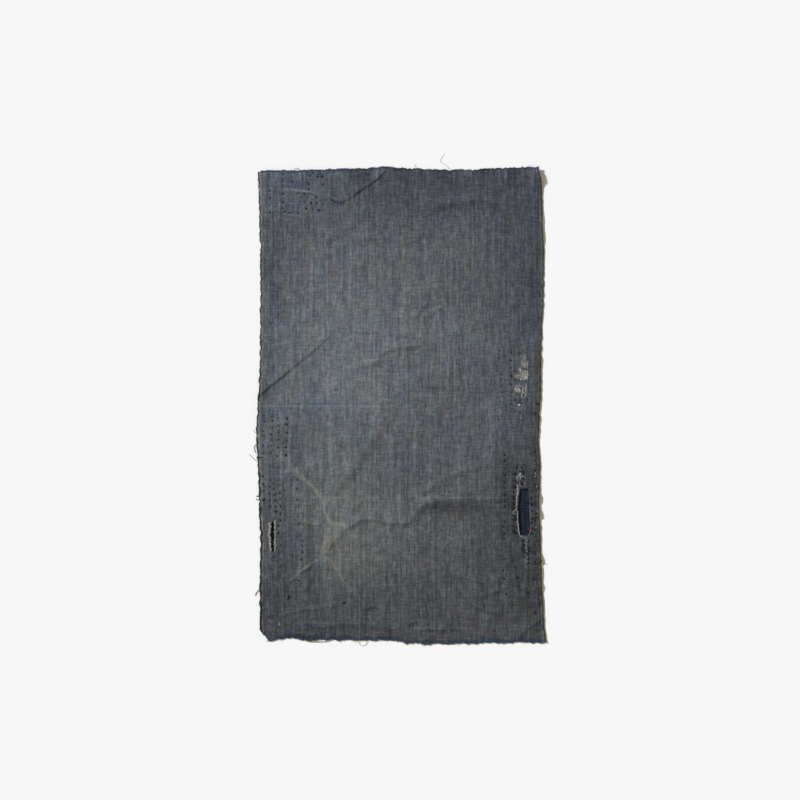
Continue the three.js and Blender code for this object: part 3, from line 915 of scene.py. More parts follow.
def soft_line_group():
    """A straight mark from one place to another that fades out to its sides."""
    tree, given, out = new_group(
        "soft_line",
        [("Position", "NodeSocketVector", (0, 0, 0)), ("From", "NodeSocketVector", (0, 0, 0)),
         ("To", "NodeSocketVector", (0.01, 0, 0)), ("Width", "NodeSocketFloat", 0.002)],
        [("Mask", "NodeSocketFloat")],
    )
    flat = vector(tree, "MULTIPLY", given.outputs["Position"], (1, 1, 0))
    away = vector(tree, "SUBTRACT", flat, given.outputs["From"])
    run = vector(tree, "SUBTRACT", given.outputs["To"], given.outputs["From"])
    length_squared = vector(tree, "DOT_PRODUCT", run, run)
    share = calc(tree, "DIVIDE", vector(tree, "DOT_PRODUCT", away, run), length_squared)
    share = calc(tree, "MAXIMUM", calc(tree, "MINIMUM", share, 1.0), 0.0)
    nearest = put(tree, "ShaderNodeVectorMath", {"operation": "SCALE"}, {0: run, "Scale": share}).outputs[0]
    distance = vector(tree, "LENGTH", vector(tree, "SUBTRACT", away, nearest))
    tree.links.new(rescale(tree, distance, 0.0, given.outputs["Width"], 1.0, 0.0), out.inputs["Mask"])
    return tree


def spun_yarn_group():
    """Tone along a yarn and the fine slant of its twist."""
    tree, given, out = new_group(
        "spun_yarn",
        [("Position", "NodeSocketVector", (0, 0, 0)), ("Twists Per Metre", "NodeSocketFloat", 400.0)],
        [("Tone", "NodeSocketFloat"), ("Height", "NodeSocketFloat")],
    )
    place = given.outputs["Position"]
    slant = put(tree, "ShaderNodeTexWave", {"wave_type": "BANDS", "bands_direction": "DIAGONAL"},
                {"Vector": place, "Scale": given.outputs["Twists Per Metre"], "Distortion": 1.5},
                ).outputs["Fac"]
    tone = calc(tree, "ADD", grain(tree, place, (0.0012, 0.0016, 0.0012), 2, 51.0), 0.5)
    tone = calc(tree, "MULTIPLY_ADD", calc(tree, "SUBTRACT", slant, 0.5), 0.35, tone)
    tree.links.new(tone, out.inputs["Tone"])
    tree.links.new(slant, out.inputs["Height"])
    return tree


plain_weave = plain_weave_group()
yarn_streaks = yarn_streaks_group()
spun_yarn = spun_yarn_group()
soft_spot = soft_spot_group()
soft_line = soft_line_group()


def new_material(name, roughness, sheen):
    """A matte finish: the material, its nodes, its shader and the position on the piece."""
    material = bpy.data.materials.new(name)
    material.use_nodes = True
    tree = material.node_tree
    shader = tree.nodes["Principled BSDF"]
    shader.inputs["Roughness"].default_value = roughness
    shader.inputs["Specular IOR Level"].default_value = 0.15
    shader.inputs["Sheen Weight"].default_value = sheen
    shader.inputs["Sheen Roughness"].default_value = 0.6
    place = tree.nodes.new("ShaderNodeTexCoord").outputs["Object"]
    return material, tree, shader, place


def ramp(tree, tone, stops):
    """A colour by tone, from a few display colours."""
    made = put(tree, "ShaderNodeValToRGB", {}, {0: tone})
    steps = made.color_ramp.elements
    while len(steps) < len(stops):
        steps.new(0.5)
    for step, (position, colour) in zip(steps, stops):
        step.position = position
        step.color = linear(*colour)
    return made.outputs[0]


def bump(tree, shader, height, depth, strength):
    """Gives a shader the relief of a height."""
    made = put(tree, "ShaderNodeBump", {}, {"Height": height, "Distance": depth, "Strength": strength})
    tree.links.new(made.outputs[0], shader.inputs["Normal"])


# A mark along a line.
Mark = namedtuple("Mark", "x0 y0 x1 y1 width strength")

# Where the dye has faded (+) or stayed dark (-), and how warm and how green the cloth has turned there.
Fading = namedtuple("Fading", "x y reach_x reach_y tone warmth green")
FADING = [
    Fading(-85, 70, 150, 190, 0.095, -0.03, 0.11),
    Fading(-70, -115, 90, 120, 0.05, 0.05, 0.20),
    Fading(20, 90, 150, 210, 0.02, 0.03, 0.0),
    Fading(176, 70, 100, 300, -0.10, 0.0, 0.0),
    Fading(150, -150, 90, 160, -0.13, 0.08, 0.06),
    Fading(10, -275, 330, 140, -0.10, 0.11, 0.0),
    Fading(60, -160, 170, 120, -0.02, 0.08, 0.05),
    Fading(-172, -200, 80, 140, -0.08, 0.03, 0.0),
    Fading(-168, 120, 40, 190, -0.04, 0.0, 0.0),
    Fading(70, 285, 250, 100, -0.10, -0.03, -0.14),
    Fading(-130, 262, 90, 50, 0.035, -0.14, 0.0),
    Fading(72, -126, 62, 17, -0.045, 0.05, 0.0),
    Fading(165, -235, 50, 90, -0.05, 0.05, 0.22),
    Fading(-120, -270, 70, 40, -0.04, -0.05, 0.0),
    Fading(-145, 160, 40, 110, -0.04, 0.0, -0.12),
    Fading(70, 80, 90, 60, 0.035, -0.02, 0.08),
    Fading(-75, 20, 65, 45, 0.04, -0.03, 0.0),
    Fading(0, -170, 50, 95, 0.04, 0.0, 0.0),
    Fading(150, 30, 40, 130, 0.04, 0.0, 0.0),
    Fading(-48, -45, 28, 26, -0.03, 0.0, 0.0),
    Fading(-127, 264, 22, 8, -0.06, -0.15, 0.0),
    Fading(150, 190, 70, 85, -0.03, 0.0, 0.0),
    Fading(-75, -168, 32, 30, 0.0, 0.08, 0.0),
    # Painted shade in the drop below the crease at y -113.
    Fading(60, -122.5, 64, 11, -0.06, 0.03, 0.0),
    Fading(-165, 282, 9, 5, -0.2, 0.0, 0.0),
    Fading(-104, 277, 12, 12, -0.05, -0.05, 0.0),
    Fading(-84, 278, 17, 11, 0.10, -0.05, 0.0),
    Fading(-160, 278, 12, 10, 0.07, -0.05, 0.0),
    Fading(-52, 276, 16, 14, -0.08, 0.0, 0.0),
    Fading(-25, 278, 15, 10, 0.075, 0.0, 0.0),
    Fading(4, 277, 18, 13, -0.085, 0.0, 0.0),
    Fading(48, 278, 13, 12, -0.05, 0.0, 0.0),
    Fading(75, 278, 16, 10, 0.065, 0.0, 0.0),
    Fading(97, 278, 11, 12, -0.085, 0.0, 0.0),
    Fading(119, 278, 12, 10, 0.06, 0.0, 0.0),
    Fading(136, 278, 12, 12, -0.05, 0.0, 0.0),
    Fading(-161, 162, 9, 17, -0.06, -0.02, 0.0),
    Fading(-70, 91, 11, 5, -0.04, 0.0, 0.0),
    Fading(-90, -64.5, 5, 5, 0.08, 0.0, 0.0),
]

# Single yarns paler (+) or darker (-) than the rest, and painted light (+) and shade (-) along old folds
# right across.
YARN_AND_FOLD_LIGHT_LINES = [
    Mark(-153, 232, -153.2, 40, 1.5, -0.07),
    Mark(-149, 216, -149.2, 80, 1.3, 0.06),
    Mark(-150.2, 235, -150.2, 218, 1.2, 0.08),
    Mark(-109, 172, -109, 92, 1.3, 0.05),
    Mark(-104, 175, -104, 95, 1.3, -0.05),
    Mark(1, 172, 1, 20, 1.2, 0.05),
    Mark(36, 90, 36, 4, 1.4, 0.055),
    Mark(40, 90, 40, 10, 1.2, -0.05),
    Mark(93, 90, 93, 4, 1.3, -0.05),
    Mark(106, 240, 106, 92, 1.4, -0.05),
    Mark(110.6, 246, 111, 92, 1.4, 0.065),
    Mark(-97.5, 4, -97.5, -66, 1.4, -0.05),
    Mark(17, 4, 17, -64, 1.3, 0.05),
    Mark(108, 4, 108, -66, 1.3, 0.055),
    Mark(-149.5, -162, -149.6, -232, 1.4, 0.07),
    Mark(-147, -162, -147.2, -232, 1.2, -0.06),
    # Painted light and shade along old folds right across.
    Mark(-167, 1.8, -86, 1.8, 1.6, -0.065),
    Mark(-86, 1.8, 20, 1.8, 1.4, -0.035),
    Mark(-167, -1.4, -86, -1.4, 1.5, 0.075),
    Mark(-86, -1.4, 166, -1.8, 1.4, 0.045),
    Mark(-160, -110.4, 20, -110.6, 1.4, 0.04),
    Mark(20, -110.6, 166, -110.8, 1.4, 0.055),
    Mark(-160, -113.6, -58, -113.6, 1.4, -0.045),
    Mark(0, 88.6, 82, 88.4, 1.3, 0.04),
    Mark(2, -266.6, 82, -266.8, 1.6, 0.05),
]

# Pale tan marks where damp has dried: lines and broad spots.
DAMP_LINES = [
    Mark(-154, -52, -133, -71, 9, 0.30),
    Mark(-133, -71, -120, -84.5, 5.4, 0.44),
    Mark(-120, -84.5, -112.5, -90.7, 4.4, 0.66),
    Mark(-112.5, -90.7, -99.4, -105, 3.7, 0.92),
    Mark(-99.4, -105, -96, -112.5, 3.4, 0.82),
    Mark(-96, -112.5, -91, -114.5, 4.2, 0.76),
    Mark(-91, -114, -85, -113.8, 2.8, 0.60),
    Mark(-85, -113.8, -78.6, -117.4, 2.8, 0.52),
    Mark(-92, -116, -91, -128, 3.5, 0.72),
    Mark(-91, -128, -85, -142, 3.5, 0.78),
    Mark(-85, -142.4, -67, -142.8, 3.6, 0.76),
    Mark(-87, -148, -90, -162, 5.6, 0.64),
    Mark(-90, -162, -95.6, -179.5, 4.4, 0.72),
    Mark(-71, -153, -85, -168.5, 3.6, 0.48),
    Mark(-85, -168.5, -95, -179.5, 3.8, 0.60),
    Mark(-95.6, -180, -87, -183, 3.0, 0.55),
    Mark(-87, -183, -77, -196, 2.8, 0.66),
    Mark(-77, -196, -66.5, -212.5, 2.8, 0.70),
    Mark(-66.5, -212.5, -58, -222, 2.8, 0.38),
    Mark(-95.6, -180, -98, -184.6, 3.0, 0.68),
    Mark(-98, -184.6, -106, -188, 2.4, 0.66),
    Mark(-106, -188, -115, -195.5, 2.3, 0.68),
    Mark(-115, -195.5, -134, -209.5, 2.3, 0.46),
    Mark(-110, -142.2, -92, -142.8, 2.6, 0.44),
    Mark(-145, -251, -112, -242, 2.8, 0.24),
    Mark(-112, -242, -79, -236, 2.8, 0.24),
    Mark(-88, -215, -85, -239, 3.2, 0.22),
    Mark(-122, -258, -80, -262, 2.0, 0.18),
]
Spot = namedtuple("Spot", "x y reach_x reach_y strength")
DAMP_SPOTS = [
    Spot(-82, -153, 19, 24, 0.40),
    Spot(-60, -185, 60, 60, 0.20),
    Spot(-45, -120, 60, 40, 0.12),
]

# Places rubbed until the pale core of the yarn shows a little.
RUBBED_SPOTS = [
    Spot(147.2, 56.4, 4.8, 6.4, 0.54),
    Spot(147.4, 48.5, 6.4, 8.0, 0.26),
    Spot(142.8, 43.2, 3.4, 3.6, 0.62),
    Spot(146.6, 36, 10.4, 10.2, 0.64),
    Spot(139.0, 34.6, 7.4, 4.8, 0.62),
    Spot(139.4, 18.2, 8.0, 6.6, 0.60),
    Spot(147.2, 17.5, 6.4, 10, 0.32),
    Spot(142, -82, 5.0, 9, 0.34),
]
RUBBED_AND_HIGHLIGHT_LINES = [
    Mark(143.9, 53.4, 143.7, 44.4, 1.2, 0.58),
    Mark(147.0, 54.0, 147.3, 44.0, 1.3, 0.66),
    Mark(149.3, 53.0, 149.4, 45.4, 1.1, 0.58),
    Mark(151.3, 52.6, 151.2, 44.0, 1.2, 0.62),
    Mark(150.8, 40.6, 151.2, 31.0, 1.6, 0.76),
    Mark(137.2, 23.6, 138.8, 23.5, 1.3, 0.74),
    Mark(141.2, 23.3, 143.2, 23.1, 1.4, 0.80),
    Mark(145.2, 21.4, 145.3, 13.4, 1.8, 0.78),
    Mark(149.5, 24.4, 149.4, 12.0, 1.6, 0.74),
    Mark(144.4, 12.4, 144.8, 9.6, 1.5, 0.74),
    Mark(148.4, 12.4, 148.4, 9.4, 1.5, 0.70),
    Mark(142.9, -12.0, 142.8, -15.6, 1.8, 0.46),
    Mark(-153.4, -88, -153, -136, 2.4, 0.22),
    Mark(149.4, -160, 149.5, -196, 6.0, 0.27),
    Mark(149.5, -196, 149.6, -214, 4.0, 0.2),
    Mark(-163.5, 77.4, -159.8, 76.8, 1.0, 0.55),
    Mark(-166, 70.2, -161, 70.4, 0.9, 0.46),
    Mark(-168.6, 88, -166, 87, 1.2, 0.46),
    Mark(-168.6, 47, -166, 45.6, 1.4, 0.5),
    # Painted highlights along the folds near the bottom edge.
    Mark(-128, -260.4, -121, -261.6, 1.2, 0.4),
    Mark(-96, -264.4, -89, -264.8, 1.0, 0.36),
    Mark(-158, -257, -154, -260, 1.6, 0.46),
    Mark(-146, -258, -145, -263, 1.4, 0.44),
]

# Painted shadow: dark lines where the torn face stands over the bared yarns.
SHADED_RIMS = [
    Mark(133.4, 33.6, 137, 31.2, 1.6, 0.6),
    Mark(137, 31.2, 143.3, 28.7, 1.5, 0.65),
    Mark(143.3, 28.7, 151.2, 28.2, 1.5, 0.65),
    Mark(152.2, 35, 151.8, 29.2, 1.2, 0.6),
    Mark(143.6, 39.4, 142.6, 35.4, 1.1, 0.6),
    Mark(137, 40.4, 138, 39.4, 2.6, 0.5),
    Mark(133.6, 17, 139.8, 13.2, 1.6, 0.65),
    Mark(139.8, 13.2, 143.6, 12.4, 1.2, 0.45),
    Mark(151.4, 23.4, 151.4, 20, 1.2, 0.5),
]

# The greyer line of an old tear at the top left.
TEAR_LINES = [
    Mark(-138, 258.8, -131, 258.2, 1.7, 0.42),
    Mark(-131, 258.2, -122.5, 256.6, 2.0, 0.72),
    Mark(-122.5, 256.6, -110.5, 255.4, 2.0, 0.70),
    Mark(-110.5, 255.4, -100, 253.4, 2.0, 0.32),
    Mark(-100, 253.4, -86, 246.6, 2.0, 0.16),
]

# Warp yarns near the left selvedge that kept their blue.
BLUE_STREAKS = [
    Mark(-151, 279, -151.5, 130, 2.4, 0.8),
    Mark(-151.5, 130, -152.5, 20, 2.6, 0.6),
    Mark(-156.5, 240, -157, 60, 1.8, 0.5),
    Mark(-146, 180, -146.5, 40, 1.6, 0.4),
    Mark(-170, -12, -80, 2, 14, 0.4),
]


def add_up(tree, terms):
    """The sum of some values."""
    total = terms[0]
    for term in terms[1:]:
        total = calc(tree, "ADD", total, term)
    return total


def strongest(tree, masks):
    """The largest of some masks at each place."""
    most = masks[0]
    for mask in masks[1:]:
        most = calc(tree, "MAXIMUM", most, mask)
    return most


def spot_mask(tree, place, spot):
    """The mask of one soft spot."""
    made = place_group(tree, soft_spot, {
        "Position": place, "Centre": (spot.x * MM, spot.y * MM, 0),
        "Reach": (spot.reach_x * MM, spot.reach_y * MM, 1)})
    return made.outputs["Mask"]


def line_mask(tree, place, mark):
    """The mask of one soft line."""
    made = place_group(tree, soft_line, {
        "Position": place, "From": (mark.x0 * MM, mark.y0 * MM, 0), "To": (mark.x1 * MM, mark.y1 * MM, 0),
        "Width": mark.width * MM})
    return made.outputs["Mask"]


def marks(tree, place, mask, rows):
    """The marks of a table, each by its strength."""
    return [calc(tree, "MULTIPLY", mask(tree, place, row), row.strength) for row in rows]


def ragged_place(tree, place, reach, step):
    """The position shifted unevenly by up to about reach, so that marks get ragged edges."""
    stretch = (step, 1.2 * step, 1)
    across = calc(tree, "MULTIPLY", grain(tree, place, stretch, 2, 21.0), 4 * reach)
    along = calc(tree, "MULTIPLY", grain(tree, place, stretch, 2, 27.0), 4 * reach)
    return vector(tree, "ADD", place, put(tree, "ShaderNodeCombineXYZ", {}, {0: across, 1: along}).outputs[0])


# Indigo from dark to pale, by tone, and how warmth and greenness tint it.
INDIGO = [(0.0, (28, 32, 38)), (0.25, (62, 66, 72)), (0.45, (93, 97, 102)), (0.7, (133, 137, 141)),
          (1.0, (180, 182, 182))]
USUAL_TONE = 0.375
WARM_TINT = (0.50, 0.06, -0.46)
GREEN_TINT = (-0.075, 0.095, -0.075)
KEPT_BLUE = (0.78, 0.92, 1.16, 1)
DRIED_DAMP = (1.66, 1.57, 1.27, 1)
TORN_SHADE = (0.20, 0.24, 0.34, 1)
FOLD_PAINTED_SHADE = (0.15, 0.18, 0.26, 1)
CUT_EDGE_BLUE = (0.40, 0.55, 0.82, 1)


def faded_ground(tree, place, weave):
    """The faded and streaked indigo of the whole cloth, with painted light and shade along creases and old
    folds.
    """
    streaks = place_group(tree, yarn_streaks, {
        "Position": place, "Warp Contrast": 0.34, "Weft Contrast": 0.26, "Grain Contrast": 0.25})
    masks = [spot_mask(tree, place, fading) for fading in FADING]

    def spread(column):
        return add_up(tree, [
            calc(tree, "MULTIPLY", mask, getattr(fading, column)) for mask, fading in zip(masks, FADING)])

    tone = calc(tree, "ADD", spread("tone"), USUAL_TONE)
    tone = calc(tree, "ADD", tone, streaks.outputs["Tone"])
    tone = calc(tree, "ADD", tone, add_up(tree, marks(tree, place, line_mask, YARN_AND_FOLD_LIGHT_LINES)))
    # Painted light on the crease ridges and painted shade in their drops.
    tone = calc(tree, "MULTIPLY_ADD", point_value(tree, "crease_painted_light"), 0.032, tone)
    yarn_gap = calc(tree, "SUBTRACT", weave.outputs["Height"], 0.62)
    tone = calc(tree, "MULTIPLY_ADD", yarn_gap, 0.16, tone)
    warp_side = calc(tree, "SUBTRACT", weave.outputs["Warp On Top"], 0.5)
    tone = calc(tree, "MULTIPLY_ADD", warp_side, 0.06, tone)
    warmth = calc(tree, "MULTIPLY_ADD", streaks.outputs["Warmth"], 0.40, spread("warmth"))
    green = calc(tree, "ADD", streaks.outputs["Greenness"], spread("green"))
    tint = vector(tree, "MULTIPLY_ADD", warmth, WARM_TINT, (1, 1, 1))
    tint = vector(tree, "MULTIPLY_ADD", green, GREEN_TINT, tint)
    return mix(tree, "MULTIPLY", 1.0, ramp(tree, tone, INDIGO), tint)


def stained(tree, place, colour):
    """Yarns that kept their blue, and the tan marks of dried damp."""
    ragged = ragged_place(tree, place, 1.2 * MM, 5 * MM)
    blue = strongest(tree, marks(tree, ragged, line_mask, BLUE_STREAKS))
    colour = mix(tree, "MULTIPLY", blue, colour, KEPT_BLUE)
    damp = strongest(
        tree, marks(tree, ragged, line_mask, DAMP_LINES) + marks(tree, ragged, spot_mask, DAMP_SPOTS))
    paler = mix(tree, "MULTIPLY", 1.0, colour, DRIED_DAMP)
    return mix(tree, "MIX", damp, colour, mix(tree, "MIX", 0.42, paler, linear(128, 130, 121)))


def rubbed_bare(tree, place, colour):
    """The old tear, the places rubbed down to the pale core of the yarn, and the painted shadow of the torn
    face over them.
    """
    frayed = ragged_place(tree, place, 0.75 * MM, 1.9 * MM)
    along_warp = grain(tree, place, (0.0013, 0.0060, 1), 1, 31.0)
    threads = calc(tree, "ADD", along_warp, grain(tree, place, (0.0018, 0.0014, 1), 1, 33.0))
    torn = strongest(tree, marks(tree, frayed, line_mask, TEAR_LINES))
    torn = calc(tree, "MULTIPLY", torn, rescale(tree, threads, -0.24, 0.20, 0.1, 1))
    colour = mix(tree, "MIX", torn, colour, linear(138, 144, 142))

    # Rubbed places, with a few painted highlights along folds.
    rubbed = strongest(
        tree, marks(tree, frayed, line_mask, RUBBED_AND_HIGHLIGHT_LINES) + marks(tree, frayed, spot_mask, RUBBED_SPOTS))
    thin = calc(tree, "MULTIPLY_ADD", calc(tree, "MULTIPLY", threads, rubbed), 0.8, rubbed)
    colour = mix(tree, "MIX", rescale(tree, thin, 0.08, 0.75, 0, 0.68), colour, linear(132, 131, 127))
    patchy = rescale(tree, calc(tree, "MULTIPLY_ADD", threads, 1.9, rubbed), 0.36, 0.90, 0, 1)
    patchy = calc(tree, "MULTIPLY", patchy, rescale(tree, rubbed, 0.10, 0.30, 0, 1))
    lightness = grain(tree, place, (0.0012, 0.0030, 1), 1, 35.0)
    lightness = calc(tree, "ADD", lightness, calc(tree, "MULTIPLY", patchy, 0.3))
    lightness = rescale(tree, lightness, -0.1, 0.45, 0, 1)
    bared = mix(tree, "MIX", lightness, linear(112, 111, 108), linear(172, 169, 163))
    colour = mix(tree, "MIX", patchy, colour, bared)
    shaded = strongest(tree, marks(tree, frayed, line_mask, SHADED_RIMS))
    return mix(tree, "MULTIPLY", shaded, colour, TORN_SHADE)


def edged(tree, place, colour):
    """The dark blue raw edges, and the selvedges' dark outer line with a tan one inside it."""
    selvedge = point_value(tree, "selvedge_distance")
    wavering = grain(tree, place, (0.004, 0.006, 1), 2, 41.0)
    cut = calc(tree, "MULTIPLY_ADD", wavering, 9.0, point_value(tree, "cut_distance"))
    cut = calc(tree, "MULTIPLY_ADD", grain(tree, place, (0.016, 0.060, 1), 1, 43.0), 9.0, cut)
    colour = mix(tree, "MULTIPLY", rescale(tree, cut, 1.0, 6.5, 0.9, 0), colour, CUT_EDGE_BLUE)

    axes = put(tree, "ShaderNodeSeparateXYZ", {}, {0: place})
    to_left = rescale(tree, axes.outputs[0], -0.1, 0.1, 1, 0)
    low_down = rescale(tree, axes.outputs[1], -0.16, 0.09, 1, 0)
    broken = rescale(tree, grain(tree, place, (0.003, 0.0045, 1), 1, 45.0), -0.16, 0.12, 0.2, 1.0)
    inner = rescale(tree, selvedge, 2.4, 4.8, 1, 0)
    inner = calc(tree, "MULTIPLY", inner, calc(tree, "MULTIPLY_ADD", to_left, 0.4, 0.45))
    colour = mix(tree, "MIX", calc(tree, "MULTIPLY", inner, broken), colour, linear(122, 118, 109))

    reach = calc(tree, "MULTIPLY_ADD", wavering, 5.4, selvedge)
    reach = calc(tree, "MULTIPLY_ADD", calc(tree, "MULTIPLY", low_down, to_left), -0.9, reach)
    reach = calc(tree, "MULTIPLY_ADD", to_left, 0.3, reach)
    left_darker = calc(tree, "MULTIPLY_ADD", low_down, 0.2, 0.14)
    darkness = calc(tree, "MULTIPLY_ADD", to_left, left_darker, 0.70)
    outer = calc(tree, "MULTIPLY", rescale(tree, reach, 1.2, 2.7, 1, 0), darkness)
    return mix(tree, "MIX", outer, colour, linear(30, 29, 26))


def faded_indigo():
    """The ground cloth, with all that has happened to it, and the painted shade of its creases and stitches.
    """
    material, tree, shader, place = new_material("faded_indigo_cotton", 0.93, 0.05)
    weave = place_group(tree, plain_weave, {"Position": place, "Unevenness": 0.6})
    colour = faded_ground(tree, place, weave)
    colour = stained(tree, place, colour)
    colour = rubbed_bare(tree, place, colour)
    # Painted shade along the crease lines and round the stitches.
    colour = mix(tree, "MULTIPLY", point_value(tree, "painted_crease_and_stitch_shade"), colour, FOLD_PAINTED_SHADE)
    colour = edged(tree, place, colour)
    tree.links.new(colour, shader.inputs["Base Color"])
    slubs = grain(tree, place, (0.0016, 0.009, 1), 2, 3.9)
    relief = calc(tree, "MULTIPLY_ADD", slubs, 0.6, weave.outputs["Height"])
    bump(tree, shader, relief, 0.30 * MM, 0.55)
    return material


def patch_cotton(name, dark, middle, pale):
    """A patch's closer weave, between three colours."""
    material, tree, shader, place = new_material(name, 0.94, 0.06)
    weave = place_group(tree, plain_weave, {
        "Position": place, "Warp Pitch": 0.58 * MM, "Weft Pitch": 0.60 * MM})
    streaks = place_group(tree, yarn_streaks, {
        "Position": place, "Warp Contrast": 0.9, "Weft Contrast": 0.6, "Grain Contrast": 0.5})
    yarn_gap = calc(tree, "SUBTRACT", weave.outputs["Height"], 0.6)
    tone = calc(tree, "MULTIPLY_ADD", yarn_gap, 0.5, streaks.outputs["Tone"])
    colour = ramp(tree, calc(tree, "ADD", tone, 0.45), [(0.0, dark), (0.5, middle), (1.0, pale)])
    tree.links.new(colour, shader.inputs["Base Color"])
    bump(tree, shader, weave.outputs["Height"], 0.28 * MM, 0.6)
    return material


def yarn_cotton(name, dark, pale, depth):
    """Spun cotton thread between two colours."""
    material, tree, shader, place = new_material(name, 0.92, 0.08)
    yarn = place_group(tree, spun_yarn, {"Position": place, "Twists Per Metre": 420.0})
    tree.links.new(ramp(tree, yarn.outputs["Tone"], [(0.2, dark), (0.8, pale)]), shader.inputs["Base Color"])
    bump(tree, shader, yarn.outputs["Height"], depth, 0.6)
    return material


cloth_finish = faded_indigo()
patch_finishes = {
    "patch_right": patch_cotton("navy_cotton", (6, 9, 16), (18, 24, 38), (52, 66, 96)),
    "patch_left_low": patch_cotton("black_cotton", (12, 12, 14), (26, 26, 29), (48, 48, 54)),
    "patch_left_high": patch_cotton("indigo_patch_cotton", (30, 37, 48), (58, 68, 82), (96, 106, 118)),
    "patch_top": patch_cotton("deep_indigo_cotton", (26, 32, 44), (50, 60, 76), (86, 98, 114)),
}
sewing_finish = yarn_cotton("dark_sewing_thread", (10, 12, 17), (27, 31, 40), 0.10 * MM)
pale_sewing_finish = yarn_cotton("pale_sewing_thread", (128, 126, 120), (186, 184, 176), 0.10 * MM)
blue_yarn_finish = yarn_cotton("unfaded_indigo_yarn", (22, 30, 44), (60, 75, 98), 0.08 * MM)
bared_yarn_finish = yarn_cotton("bared_cotton_yarn", (108, 107, 102), (192, 189, 181), 0.10 * MM)
fluff_finish = yarn_cotton("white_cotton_fluff", (176, 180, 188), (226, 229, 236), 0.06 * MM)
dull_yarn_finish = yarn_cotton("dull_cotton_yarn", (94, 92, 87), (164, 161, 153), 0.08 * MM)
loose_yarn_finish = yarn_cotton("loose_cotton_yarn", (86, 84, 81), (140, 135, 129), 0.06 * MM)
red_yarn_finish = yarn_cotton("red_thread_end", (120, 22, 30), (186, 46, 54), 0.06 * MM)


# The ground cloth

HOLE_RIM_STEP = 1.0
SPARE_ROUND_CLOTH = 6.0
CLEAR_OF_RIM = {"fine": 0.8, "coarse": 1.2, "folds": 0.6}

# Rows of points on the gentle side of a crease, at these distances, and down its drop, at these shares of it.
CREASE_ROWS_OUT = (2.0, 0.8, 0, -0.8)
CREASE_ROWS_DOWN = (-0.72, -1)
CREASE_ROW_IN_DROP = -0.4
KEPT_CLEAR_BEFORE = 2.5
KEPT_CLEAR_PAST_FALL = 0.6
CREASE_BOX = 12.0

# How far the close points reach round what needs them.
FINE_ROUND_STITCH = 4.2
FINE_ROUND_CREASE = 5.0
FINE_ROUND_HOLE = 3.0
FINE_AT_RIGHT_SELVEDGE = 9.0

# The blue band of the top edge is narrower than that of the bottom edge, whose slope is taken over a run.
TOP_BAND_NARROWER = 1.7
SLOPE_RUN = 2.0


def outer_loop():
    """The cloth's outline as points, anticlockwise."""
    left_x, right_x = -LOOM_WIDTH / 2, LOOM_WIDTH / 2
    for _ in range(4):
        top_left = (left_side(top_side(left_x)), top_side(left_x))
        top_right = (right_side(top_side(right_x)), top_side(right_x))
        left_x, right_x = top_left[0], top_right[0]
    bottom_left = (left_side(bottom_side(left_x)), bottom_side(left_x))
    bottom_right = (right_side(bottom_side(right_x)), bottom_side(right_x))
    bottom_x = np.arange(bottom_left[0], bottom_right[0], RIM_STEP)
    right_y = np.arange(bottom_right[1], top_right[1], RIM_STEP)
    top_x = np.arange(top_right[0], top_left[0], -RIM_STEP)
    left_y = np.arange(top_left[1], bottom_left[1], -RIM_STEP)
    return np.r_[
        np.c_[bottom_x, bottom_side(bottom_x)],
        np.c_[right_side(right_y), right_y],
        np.c_[top_x, top_side(top_x)],
        np.c_[left_side(left_y), left_y],
    ]


def hole_loop(hole):
    """A hole's outline as points, clockwise."""
    length = hole.sections[-1].down
    y = hole.top - np.linspace(0, length, int(length / HOLE_RIM_STEP) + 1)
    left, right = hole_sides(hole, y)
    return np.r_[np.c_[right, y], np.c_[left, y][::-1]]


def is_cloth(x, y, margin=0.0):
    """True on the cloth, at least margin inside its edges."""
    selvedge, cut = rim_distance(x, y)
    inside = (selvedge > margin) & (cut > margin)
    for hole in HOLES:
        near = near_hole(hole, x, y, SPARE_ROUND_CLOTH)
        inside[near] &= ~in_hole(hole, x[near], y[near], margin)
    return inside


def crease_points():
    """Rows of points along each crease, close together across its drop."""
    rows = []
    for crease, line in zip(CREASES, CREASE_LINES):
        place = np.r_[0, np.cumsum(np.hypot(*np.diff(line, axis=0).T))]
        steps = np.linspace(0, place[-1], max(int(place[-1] / CREASE_STEP), 4))
        centre = np.c_[np.interp(steps, place, line[:, 0]), np.interp(steps, place, line[:, 1])]
        along = np.gradient(centre, axis=0)
        along /= np.linalg.norm(along, axis=1)[:, None]
        left = np.c_[-along[:, 1], along[:, 0]]
        outs = [*CREASE_ROWS_OUT, CREASE_ROW_IN_DROP * crease.fall + CREASE_ROW_IN_DROP]
        outs += [share * crease.fall for share in CREASE_ROWS_DOWN]
        rows += [centre + out * left for out in outs]
    return np.concatenate(rows)


def on_crease(x, y):
    """True close to a crease, where the points are laid along it."""
    close = np.zeros(x.shape, bool)
    for crease, line in zip(CREASES, CREASE_LINES):
        near = near_crease(line, x, y, CREASE_BOX)
        if near.any():
            distance, side, _ = crease_place(line, x[near], y[near])
            reach = np.where(side > 0, KEPT_CLEAR_BEFORE, crease.fall + KEPT_CLEAR_PAST_FALL)
            close[near] |= distance < reach
    return close


def wants_fine(x, y):
    """True where the cloth is sewn, creased or holed, and needs close points."""
    fine = np.zeros(x.shape, bool)
    for middle, _, _ in STITCHES:
        fine |= (x - middle[0]) ** 2 + (y - middle[1]) ** 2 < FINE_ROUND_STITCH ** 2
    for line in CREASE_LINES:
        near = near_crease(line, x, y, FINE_ROUND_CREASE)
        if near.any():
            fine[near] |= crease_place(line, x[near], y[near])[0] < FINE_ROUND_CREASE
    for hole in HOLES:
        fine |= near_hole(hole, x, y, FINE_ROUND_HOLE)
    return fine | (x > right_side(y) - FINE_AT_RIGHT_SELVEDGE)


